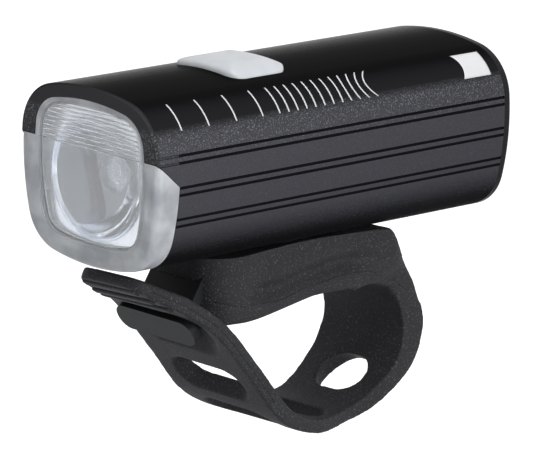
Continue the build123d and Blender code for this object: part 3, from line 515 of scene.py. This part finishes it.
# Strap: the rubber block comes from its solid, and the band is a flat slotted strip that is bent into place
strapShape = {
    "voxel": 0.33,
    "smoothing": 12,
    "thick": 3.3,
    "stepMm": 0.5,  # length of the flat strip's faces
    "stationSteps": 20,  # places that are measured between two stations
    "tipRound": 3.6,
    "tipHeading": (0, -0.91, 0.41),  # past the last station the strip runs straight on
    "cutY": -6.0,  # divided here, across the flat sole
    "bendStart": (0, -8.0, -15.6),
    "bendEnd": (0, -21.5, -12.5),
    "slotFacets": 40,
    "slotReach": 3.0,  # the cutters stand out this far on both sides
    "lineRadius": 0.13,  # the mould's parting line
    "lineRounding": 1,
    "lineMerge": 0.005,  # closes the line's ends
    "edgeLine": (66, 106),  # stretch of the band that shows it
    "edgeLineShare": 0.52,  # and its place in the thickness
    "ribs": (107.4, 103.5, 99.6),
    "ribSize": (1.9, 0.9),
    "ribInset": 1.1,
    "ribCuts": 11,
    "ribRound": 0.42,
    "ribFacets": 3,  # of its rounding
    "ribLift": 0.15,
    # Side view from above the bar round to the tip: inner y and z, outer y and z, half width, lean to one side
    "stations": [
        (-1.9, 10.9, 0, 18.0, 10.4, 0),
        (4.7, 10.06, 8.3, 17.4, 10.7, 0),
        (7.85, 7.85, 12.4, 12.3, 11.1, 0),
        (9.6, 5.55, 14.4, 8.6, 11.3, 0),
        (11.1, 0, 17.0, 0.6, 11.3, 0.01),
        (9.6, -5.55, 14.2, -7.2, 11.8, 0.03),
        (6.37, -9.09, 8.8, -12.1, 11.6, 0.04),
        (1.7, -12.36, 3.1, -15.4, 11.0, 0.04),
        (-3.46, -14.1, -3.4, -16.9, 10.8, 0.035),
        (-13.0, -14.1, -13.1, -17.1, 12.6, 0.02),
        (-22.4, -9.97, -24.84, -12.2, 14.1, 0),
        (-31.5, -0.1, -33.9, -2.3, 14.25, 0),
        (-40.5, 9.79, -42.9, 7.6, 14.0, 0),
        (-47.8, 15.2, -49.25, 12.25, 11.6, 0.02),
        (-53.6, 17.8, -54.9, 15.1, 9.3, 0.05),
        (-59.4, 20.6, -60.4, 18.6, 8.4, 0.04),
    ],
    # Place along the strip, across, along, end rounding, how much the inner mouth is shorter each side, its shift
    "slots": {
        "hook": (87.4, 23.0, 14.5, 5.8, 3.3, 1.5),
        "middle": (70.5, 19.4, 9.6, 4.7, 1.6, 0.2),
        "nose": (57.8, 19.0, 8.4, 4.1, 1.0, 0),
        "sole": (47.7, 19.0, 7.6, 3.7, 0.2, 0),
        "bar": (31.2, 12.2, 9.4, 4.65, 0.2, 0),
    },
}


# All six values of the stations at a place between them, on a smooth curve through them
def stationAt(place):
    stations = strapShape["stations"]
    last = len(stations) - 1
    index = min(int(place), last - 1)
    t = place - index
    a, b, c, d = (Vector(stations[max(0, min(last, index + step))]) for step in (-1, 0, 1, 2))
    square = (a * 2 - b * 5 + c * 4 - d) * t * t
    cube = (b * 3 - a - c * 3 + d) * t ** 3
    return (b * 2 + (c - a) * t + square + cube) / 2


# Pairs of the way along the strip's inner face and the place between stations
def stripTable():
    table = [(0.0, 0.0)]
    before = stationAt(0)
    steps = strapShape["stationSteps"]
    for step in range(1, (len(strapShape["stations"]) - 1) * steps + 1):
        here = stationAt(step / steps)
        run = ((here[0] - before[0]) ** 2 + (here[1] - before[1]) ** 2) ** 0.5
        table.append((table[-1][0] + run, step / steps))
        before = here
    return table


stripPlaces = stripTable()
stripLength = stripPlaces[-1][0]


def stationAlong(distance):
    distance = max(0.0, min(distance, stripLength))
    for (near, placeNear), (far, placeFar) in zip(stripPlaces, stripPlaces[1:]):
        if distance <= far:
            return stationAt(placeNear + (placeFar - placeNear) * (distance - near) / (far - near))


# Bends a place on the flat strip: x across, y along, z from the inner face outwards
def bent(point):
    look = strapShape
    innerY, innerZ, outerY, outerZ, _, lean = stationAlong(point.y)
    share = point.z / look["thick"]
    beyond = Vector(look["tipHeading"]) * max(point.y - stripLength, 0)
    y = innerY + (outerY - innerY) * share
    z = innerZ + (outerZ - innerZ) * share + point.x * lean
    return (Vector((point.x, y, z)) + beyond) * mm


def halfWidth(distance):
    half = stationAlong(distance)[4]
    turn = strapShape["tipRound"]
    past = distance - (stripLength - turn)
    return half if past <= 0 else half - turn + (max(turn * turn - past * past, 0)) ** 0.5


# A rounded slot cutter, wider at the strap's outer face
def slotCutter(place, across, along, corner, shorter, shift):
    look = strapShape
    thick = look["thick"]
    bm = bmesh.new()
    bmesh.ops.create_circle(bm, cap_ends=True, cap_tris=False, segments=look["slotFacets"], radius=corner)
    for vert in bm.verts:
        vert.co.x += (across / 2 - corner) * (1 if vert.co.x > 0 else -1)
        vert.co.y += (along / 2 - corner) * (1 if vert.co.y > 0 else -1)
    grown = bmesh.ops.extrude_face_region(bm, geom=bm.faces[:])
    top = [item for item in grown["geom"] if isinstance(item, bmesh.types.BMVert)]
    for vert in bm.verts:
        level = thick + look["slotReach"] if vert in top else -look["slotReach"]
        pull = shorter * (thick - level) / thick
        slide = shift * (thick - level) / thick
        x = vert.co.x * (1 - pull / (across / 2))
        y = vert.co.y * (1 - pull / (along / 2)) + place + slide
        vert.co = (x, y, level)
    bmesh.ops.recalc_face_normals(bm, faces=bm.faces)
    return bm


# The edges of a unit cube that run along one axis
def edgesAlong(bm, axis):
    return [edge for edge in bm.edges if abs(edge.verts[0].co[axis] - edge.verts[1].co[axis]) > 0.5]


# The flat strip with its slots cut, then bent
def bentStrip():
    look = strapShape
    steps = int(stripLength / look["stepMm"])
    bm = bmesh.new()
    bmesh.ops.create_cube(bm, size=1.0)
    bmesh.ops.subdivide_edges(bm, edges=edgesAlong(bm, 1), cuts=steps, use_grid_fill=True)
    for vert in bm.verts:
        along = (vert.co.y + 0.5) * stripLength
        vert.co = (vert.co.x * 2 * halfWidth(along), along, (vert.co.z + 0.5) * look["thick"])
    strip = newObject("strip", meshFrom(bm, "strip"))
    cutters = [newObject(name, meshFrom(slotCutter(*slot), name)) for name, slot in look["slots"].items()]
    for cutter in cutters:
        cut = strip.modifiers.new(cutter.name, "BOOLEAN")
        cut.object = cutter
        cut.operation = "DIFFERENCE"
        cut.solver = "EXACT"
    mesh = appliedMesh(strip)
    for obj in [strip] + cutters:
        bpy.data.objects.remove(obj)
    for vert in mesh.vertices:
        vert.co = bent(vert.co)
    return mesh


# Block: roundings that the solid leaves out, and a soft valley above the mould's parting line
blockShape = {
    "half": 12.0,
    "front": -41.6,
    "frontRound": 4.2,
    "frontLow": 8.3,
    "frontSpare": 1.0,  # moulded this far ahead of the front too
    "cornerRound": 8.5,
    "rear": 12.9,
    "rearRound": 5.0,
    "rearEnd": 14.0,  # nothing behind this is moulded
    "lowest": 7.0,  # and nothing below this
    "sounding": (8.3, 6.9),  # the underside's level is read upwards from here, beside the middle
    "underRound": 3.0,
    "underEase": (-4.0, 10.0),  # this rounding grows from here, over this run
    "underTop": 16.0,
    "underStart": -5.0,
    "mergeSmoothing": 25,  # where the block flows into the strap behind the bar
    "mergeStart": 2.0,
    "mergeLevels": (5.0, 15.5),
    "mergeRadius": 12.0,
    "line": [(-40, 13.3), (-33.8, 12.1), (-25.5, 11.8), (-15.1, 13.5), (-6.6, 14.2), (0, 13.9), (6.6, 11.2), (12, 8.4)],
    "lineStart": -39.5,
    "lineStep": 0.5,
    "linePoints": 105,
    "lineAim": (20, 8),  # found from this far out, and no nearer the middle than this
    "valleyAbove": 2.4,
    "valleyWidth": 1.8,
    "valleyDepth": 1.5,
    "valleyReach": (-36, 4),
    "valleyEnds": 8,
    "sideFacing": 0.2,  # faces that turn outwards by less stay as they are
    "sideLean": 0.08,  # the side leans in above the line by this much for each millimetre
    # Planes that cut the block out of its solid: a place, and the way that falls away
    "cuts": (
        ((0, -20, 7.4), (0, 3.2, -34)),  # along the underside
        ((0, 12.85, 11.1), (0, 11.5, 7.2)),  # behind the bar
        ((0, -39.54, 10.66), (0, -0.74, -0.673)),  # leaves room for the band that passes the toe
    ),
    "cutTolerance": 0.001,
    # The line between the strap's inner face and the block, in the side view
    "divideRear": -3.0,  # everything behind this is the block's
    "divideLevel": -7.0,  # the line's height as far as the next place
    "divideRise": (-24.0, -7.38),  # from here it climbs
    "divideSlope": 1.0989,
    "divideTop": 12.1,
    "divideToe": -42.6,  # everything ahead of this is the band's
}


# The block alone: its solid above the bar, without the solid's own ring
def blockCopy():
    look = blockShape
    bm = nodeMesh("strap_saddle")
    for place, outward in look["cuts"]:
        geometry = bm.verts[:] + bm.edges[:] + bm.faces[:]
        bmesh.ops.bisect_plane(bm, geom=geometry, dist=look["cutTolerance"] * mm, plane_co=Vector(place) * mm,
                               plane_no=Vector(outward), clear_outer=True)
        bmesh.ops.holes_fill(bm, edges=[edge for edge in bm.edges if edge.is_boundary], sides=0)
    bmesh.ops.triangulate(bm, faces=bm.faces)
    turn = look["rearRound"]
    for vert in bm.verts:
        hand = 1 if vert.co.x > 0 else -1
        x, y = pulledIn(abs(vert.co.x) / mm, vert.co.y / mm, look["half"] - turn, look["rear"] - turn, turn)
        vert.co = (x * hand * mm, y * mm, vert.co.z)
    return bm


# Height on a line of points, eased between them
def levelOn(points, y):
    if y <= points[0][0]:
        return points[0][1]
    for (y0, z0), (y1, z1) in zip(points, points[1:]):
        if y <= y1:
            share = (y - y0) / (y1 - y0)
            return z0 + (z1 - z0) * share * share * (3 - 2 * share)
    return points[-1][1]


# Pulls a place that lies beyond a rounded corner back onto its arc
def pulledIn(u, v, cornerU, cornerV, radius):
    reachU, reachV = u - cornerU, v - cornerV
    reach = (reachU * reachU + reachV * reachV) ** 0.5
    if reachU <= 0 or reachV <= 0 or reach <= radius:
        return u, v
    return cornerU + reachU * radius / reach, cornerV + reachV * radius / reach


# Level of the block's underside, with its rounded front
def underLevel(tree, y):
    look = blockShape
    turn = look["frontRound"]
    past = look["front"] + turn - y
    if past > 0:
        return look["frontLow"] + turn - (max(turn * turn - past * past, 0)) ** 0.5
    x, z = look["sounding"]
    return tree.ray_cast(Vector((x, y, z)) * mm, Vector((0, 0, 1)))[0].z / mm


def isBandFace(point):
    look = blockShape
    y, z = point.y / mm, point.z / mm
    riseY, riseZ = look["divideRise"]
    if y > look["divideRear"]:
        return False
    if y > riseY:
        return z < look["divideLevel"]
    return z < min(riseZ + (riseY - y) * look["divideSlope"], look["divideTop"]) or y < look["divideToe"]


# Where the block flows into the strap
def isMergeVert(point):
    look = blockShape
    low, high = look["mergeLevels"]
    behind = point.y > look["mergeStart"] * mm
    return behind and low * mm < point.z < high * mm and point.length > look["mergeRadius"] * mm


def mouldBlock(bm):
    look = blockShape
    merge = [vert for vert in bm.verts if isMergeVert(vert.co)]
    for step in range(look["mergeSmoothing"]):
        bmesh.ops.smooth_vert(bm, verts=merge, factor=smoothFactor, use_axis_x=True, use_axis_y=True, use_axis_z=True)
    tree = BVHTree.FromBMesh(bm)
    easeStart, easeRun = look["underEase"]
    valleyStart, valleyEnd = look["valleyReach"]
    for vert in bm.verts:
        x, y, z = vert.co / mm
        outside = z < look["lowest"] or y > look["rearEnd"] or y < look["front"] - look["frontSpare"]
        if outside or isBandFace(vert.co):
            continue
        hand = 1 if x > 0 else -1
        side = vert.normal.x * hand
        across = abs(x)
        if y < look["underStart"] and z < look["underTop"]:
            turn = look["underRound"] * min(1, (easeStart - y) / easeRun)
            across, down = pulledIn(across, -z, look["half"] - turn, -(underLevel(tree, y) + turn), turn)
            z = -down
        turn = look["cornerRound"]
        across, ahead = pulledIn(across, -y, look["half"] - turn, -(look["front"] + turn), turn)
        y = -ahead
        if side > look["sideFacing"] and valleyStart < y < valleyEnd:
            above = z - levelOn(look["line"], y)
            valley = (above - look["valleyAbove"]) / look["valleyWidth"]
            ends = min(1, (y - valleyStart) / look["valleyEnds"]) * min(1, (valleyEnd - y) / look["valleyEnds"])
            sunk = look["valleyDepth"] * exp(-valley * valley) + look["sideLean"] * max(0, above)
            across -= sunk * side * ends
        vert.co = Vector((across * hand, y, z)) * mm


# A fine raised line through points in metres
def raisedLine(points):
    look = strapShape
    curve = bpy.data.curves.new("line", "CURVE")
    curve.dimensions = "3D"
    curve.bevel_depth = look["lineRadius"] * mm
    curve.bevel_resolution = look["lineRounding"]
    curve.use_fill_caps = True
    spline = curve.splines.new("POLY")
    spline.points.add(len(points) - 1)
    for point, place in zip(spline.points, points):
        point.co = (*place, 1)
    draft = bpy.data.objects.new("line", curve)
    bm = bmesh.new()
    bm.from_mesh(bpy.data.meshes.new_from_object(draft))
    bpy.data.objects.remove(draft)
    bmesh.ops.remove_doubles(bm, verts=bm.verts, dist=look["lineMerge"] * mm)
    return meshFrom(bm, "line")


# The parting line along both sides of the block
def blockLines(tree):
    look = blockShape
    farOut, nearest = look["lineAim"]
    lines = []
    for hand in (1, -1):
        points = []
        for index in range(look["linePoints"]):
            y = look["lineStart"] + index * look["lineStep"]
            aim = Vector((farOut * hand, y, levelOn(look["line"], y))) * mm
            hit = tree.ray_cast(aim, Vector((-hand, 0, 0)))[0]
            if hit and hit.x * hand > nearest * mm:
                points.append(hit)
        lines.append(raisedLine(points))
    return lines


# The same along both edges of the band
def bandLines(tree):
    look = strapShape
    depth = look["thick"] * look["edgeLineShare"]
    lines = []
    for hand in (1, -1):
        points = [bent(Vector((halfWidth(place) * hand, place, depth))) for place in range(*look["edgeLine"])]
        lines.append(raisedLine([tree.find_nearest(point)[0] for point in points]))
    return lines


# Three finger ribs across the tip
def fingerRibs():
    look = strapShape
    wide, high = look["ribSize"]
    meshes = []
    for place in look["ribs"]:
        half = halfWidth(place) - look["ribInset"]
        bm = bmesh.new()
        bmesh.ops.create_cube(bm, size=1.0)
        bmesh.ops.subdivide_edges(bm, edges=edgesAlong(bm, 0), cuts=look["ribCuts"], use_grid_fill=True)
        for vert in bm.verts:
            vert.co = (vert.co.x * 2 * half, vert.co.y * wide, vert.co.z * high)
        corners = [edge for edge in bm.edges if edge.calc_face_angle(0) > 1]  # the rib's own right angles
        bmesh.ops.bevel(bm, geom=corners, offset=look["ribRound"], affect="EDGES", segments=look["ribFacets"],
                        profile=0.5, material=-1)
        for vert in bm.verts:
            vert.co = bent(Vector((vert.co.x, vert.co.y + place, vert.co.z + look["thick"] + look["ribLift"])))
        meshes.append(meshFrom(bm, "rib"))
    return meshes


# Closes a cut end with a flat face whose rim stays sharp
def closeCut(bm):
    rim = [edge for edge in bm.edges if edge.is_boundary]
    for edge in rim:
        edge.smooth = False
    caps = bmesh.ops.holes_fill(bm, edges=rim, sides=0)["faces"]
    bmesh.ops.triangulate(bm, faces=caps)
    print("cut closed:", len(caps), "faces")


def makeStrap():
    look = strapShape
    bm = blockCopy()
    bm.from_mesh(bentStrip())
    block = remeshed(bm, look["voxel"], look["smoothing"])
    mouldBlock(block)
    tree = BVHTree.FromBMesh(block)
    sideLines, edgeLines = blockLines(tree), bandLines(tree)

    # The band's share lies ahead of the cut and below the line that divides it from the block
    cut = look["cutY"] * mm
    band = block.copy()
    for part, isBand in ((block, False), (band, True)):
        faces = [face for face in part.faces if isBandFace(face.calc_center_median())]
        edges = list(dict.fromkeys(edge for face in faces for edge in face.edges))
        verts = list(dict.fromkeys(vert for face in faces for vert in face.verts))
        bmesh.ops.bisect_plane(part, geom=verts + edges + faces, plane_co=(0, cut, 0), plane_no=(0, -1, 0))
        others = []
        for face in part.faces:
            middle = face.calc_center_median()
            if (isBandFace(middle) and middle.y < cut) != isBand:
                others.append(face)
        bmesh.ops.delete(part, geom=others, context="FACES")
        closeCut(part)
    for mesh in sideLines:
        block.from_mesh(mesh)
    for mesh in edgeLines + fingerRibs():
        band.from_mesh(mesh)
    saddle = finishPiece(block, "strap_block", strapRubber, "strap_mount")
    strip = finishPiece(band, "strap_band", strapRubber, None)
    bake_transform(strip)
    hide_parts("strap_saddle")
    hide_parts("strap_tail")
    print("strap:", len(saddle.data.polygons), "and", len(strip.data.polygons), "faces")


makeStrap()

# Button: the silicone pad with soft edges, as it comes from its mould
buttonShape = {
    "voxel": 0.3,
    "smoothing": 10,
    "half": (9.07, 8.4),
    "middleY": -28.65,
    "crown": 0.9,
    "rimDrop": 0.8,
    "deepest": 53.7,  # the pad keeps its shape below this
    "easeRun": 3.0,  # and takes the crown fully this far above
}


def makeButton():
    look = buttonShape
    bm = remeshed(nodeMesh("button_cap"), look["voxel"], look["smoothing"])
    for vert in bm.verts:
        x, y, z = vert.co / mm
        reach = max(abs(x) / look["half"][0], abs(y - look["middleY"]) / look["half"][1])
        risen = max(0, min(1, (z - look["deepest"]) / look["easeRun"]))
        crown = look["crown"] * (1 - min(1, reach) ** 3)
        vert.co.z += (crown - look["rimDrop"] * reach ** 4) * risen * mm
    pad = finishPiece(bm, "button_pad", silicone, "button")
    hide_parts("button_cap")
    print("button:", len(pad.data.polygons), "faces")


makeButton()

# Printed marks on the right shoulder: thin strips laid on the body's surface
markShape = {
    "high": (13.2, 12.95),  # upper end: across, above the widest level
    "low": (17.65, 8.8),
    "outward": (0.68, 0, 0.73),  # the way that the shoulder faces
    "aimFrom": 12,
    "width": 0.36,
    "lift": 0.02,
    "inkThick": 0.015,
    "single": (-41.2, -34.1, -26.95, -20.0),
    "rowStart": -15.5,
    "rowStep": 2.43,
    "rowCount": 12,
    "lineFaces": 12,
    "bowed": 4,  # this many at the end bow forward more and more
    "bowMm": 1.9,
    "plate": (35.7, 43.4),
    "plateLow": 0.95,
    "plateHollow": 0.9,
    "plateFaces": 16,
}


def bodySurface():
    bm = nodeMesh("housing")
    tree = BVHTree.FromBMesh(bm)
    bm.free()
    return tree


surface = bodySurface()


# Point on the shoulder: share 0 at the marks' upper end, 1 at the lower
def onShoulder(share, alongMm, liftMm):
    look = markShape
    (x0, z0), (x1, z1) = look["high"], look["low"]
    aim = Vector(((x0 + (x1 - x0) * share) * mm, midY + alongMm * mm, midZ + (z0 + (z1 - z0) * share) * mm))
    outward = Vector(look["outward"])
    hit, normal = surface.ray_cast(aim + outward * look["aimFrom"] * mm, -outward)[:2]
    return hit + normal * liftMm * mm


# A patch of ink. alongAt gives its place along the body from the share down a mark and the share across it.
def printedPatch(bm, alongAt, columns, rows, low=1.0):
    grid = bmesh.ops.create_grid(bm, x_segments=columns, y_segments=rows, size=0.5)
    for vert in grid["verts"]:
        share, across = vert.co.y + 0.5, vert.co.x + 0.5
        vert.co = onShoulder(share * low, alongAt(share, across), markShape["lift"])


# 0 at both ends of a mark and 1 in its middle
def arch(share):
    return 1 - (2 * share - 1) ** 2


def makePrint():
    look = markShape
    bm = bmesh.new()
    row = [look["rowStart"] + index * look["rowStep"] for index in range(look["rowCount"])]
    lines = [*look["single"], *row]
    for index, along in enumerate(lines):
        late = max(index - (len(lines) - look["bowed"]) + 1, 0)
        bow = late / look["bowed"] * look["bowMm"]
        printedPatch(bm, lambda share, across: along - bow * arch(share) + (across - 0.5) * look["width"],
                     1, look["lineFaces"])
    start, end = look["plate"]
    hollow = look["plateHollow"]
    printedPatch(bm, lambda share, across: start + hollow * arch(share) * (1 - across) + (end - start) * across,
                 look["plateFaces"], look["plateFaces"], look["plateLow"])
    bmesh.ops.recalc_face_normals(bm, faces=bm.faces)
    for face in bm.faces:
        face.normal_update()
        middle = face.calc_center_median()
        if face.normal.dot(middle - Vector((0, middle.y, midZ))) < 0:
            face.normal_flip()
    bmesh.ops.solidify(bm, geom=bm.faces[:], thickness=look["inkThick"] * mm)
    finishPiece(bm, "printed_marks", plainFinish("printedInk"), "light")


makePrint()
print("print laid on")

# Floor in metres, its level in millimetres: pale matt paint that reads as white and keeps the soft shadow
floorLook = {
    "level": -34.5,
    "size": 6.0,
    "colour": "#e9eaec",
    "roughness": 0.9,
    "bounce": "#6c6d70",  # what it throws up at the strap
    "glow": 0.45,
    "fade": (0.35, 1.3),  # from here to there it turns white, as far as the horizon
}


# 1 for rays that show the background: seen straight, mirrored in gloss, or through the clear cover
def seenRays(tree):
    path = addNode(tree, "LightPath").outputs
    direct = addNode(tree, "Math", (path["Is Camera Ray"], path["Is Transmission Ray"]), operation="MAXIMUM")
    return addNode(tree, "Math", (direct, path["Is Glossy Ray"]), operation="MAXIMUM")


def makeFloor():
    look = floorLook
    bm = bmesh.new()
    place = Matrix.Translation((0, 0, look["level"] * mm))
    bmesh.ops.create_grid(bm, x_segments=1, y_segments=1, size=look["size"] / 2, matrix=place)
    material, tree, shader = newMaterial("floorPaint")
    feed(tree, shader, {"Roughness": look["roughness"], "Base Color": linear(look["colour"])})
    mesh = meshFrom(bm, "floor")
    mesh.materials.append(material)
    newObject("floor", mesh)
    here = addNode(tree, "TexCoord").outputs["Object"]
    far = addNode(tree, "VectorMath", (here,), operation="LENGTH").outputs["Value"]
    strength = addNode(tree, "MapRange", (far, *look["fade"], look["glow"], 1.0))
    glow = addNode(tree, "Emission", {"Color": (1, 1, 1, 1), "Strength": strength})
    shown = addNode(tree, "AddShader", (shader, glow))
    bounce = addNode(tree, "BsdfDiffuse", {"Color": linear(look["bounce"])})
    mixed = addNode(tree, "MixShader", (seenRays(tree), bounce, shown))
    feed(tree, tree.nodes["Material Output"], {"Surface": mixed})


makeFloor()

studioLook = {"fill": 0.26}  # soft light from all round


def makeWorld():
    world = bpy.data.worlds.new("studio")
    bpy.context.scene.world = world
    world.use_nodes = True
    tree = world.node_tree
    strength = addNode(tree, "MapRange", (seenRays(tree), 0, 1, studioLook["fill"], 1.0))
    feed(tree, tree.nodes["Background"], {"Color": (1, 1, 1, 1), "Strength": strength})


makeWorld()

# Lamps: place, target and size in metres, power in watts
lampPlaces = {
    "topBox": ((0.1, -0.1, 0.75), (0, -0.02, 0.03), (0.5, 0.9), 5.5),
    "frontBox": ((-0.1, -0.85, 0.2), (0, -0.02, 0.03), (0.6, 0.6), 1.3),
    "sideBox": ((0.85, -0.1, 0.15), (0, -0.01, 0.03), (0.6, 0.5), 7.5),
}


def areaLight(name, place, target, size, power):
    lamp = bpy.data.lights.new(name, "AREA")
    lamp.shape = "RECTANGLE"
    lamp.size, lamp.size_y = size
    lamp.energy = power
    obj = newObject(name, lamp)
    obj.location = place
    obj.rotation_euler = (Vector(target) - Vector(place)).to_track_quat("-Z", "Y").to_euler()


for lampName, values in lampPlaces.items():
    areaLight(lampName, *values)

# Camera from the photograph's own perspective: angles in degrees, place in metres
cameraView = {
    "azimuth": 45.0,
    "elevation": 13.664,
    "roll": 2.024,
    "lens": 325.6,
    "sensor": 36.0,
    "place": (0.6473, -0.6645, 0.2452),
    "clipEnd": 20,
}


def makeCamera():
    look = cameraView
    turn, tilt, roll = (radians(look[key]) for key in ("azimuth", "elevation", "roll"))
    right = Vector((cos(turn), sin(turn), 0))
    ahead = Vector((-sin(turn) * cos(tilt), cos(turn) * cos(tilt), -sin(tilt)))
    up = right.cross(ahead)
    right, up = right * cos(roll) + up * sin(roll), up * cos(roll) - right * sin(roll)
    camera = bpy.data.cameras.new("camera")
    camera.lens = look["lens"]
    camera.sensor_width = look["sensor"]
    camera.sensor_fit = "HORIZONTAL"
    camera.clip_end = look["clipEnd"]
    obj = newObject("camera", camera)
    obj.matrix_world = Matrix.Translation(look["place"]) @ Matrix((right, up, -ahead)).transposed().to_4x4()
    bpy.context.scene.camera = obj


makeCamera()
bpy.context.scene.view_settings.view_transform = "Standard"
print("camera and lamps set")
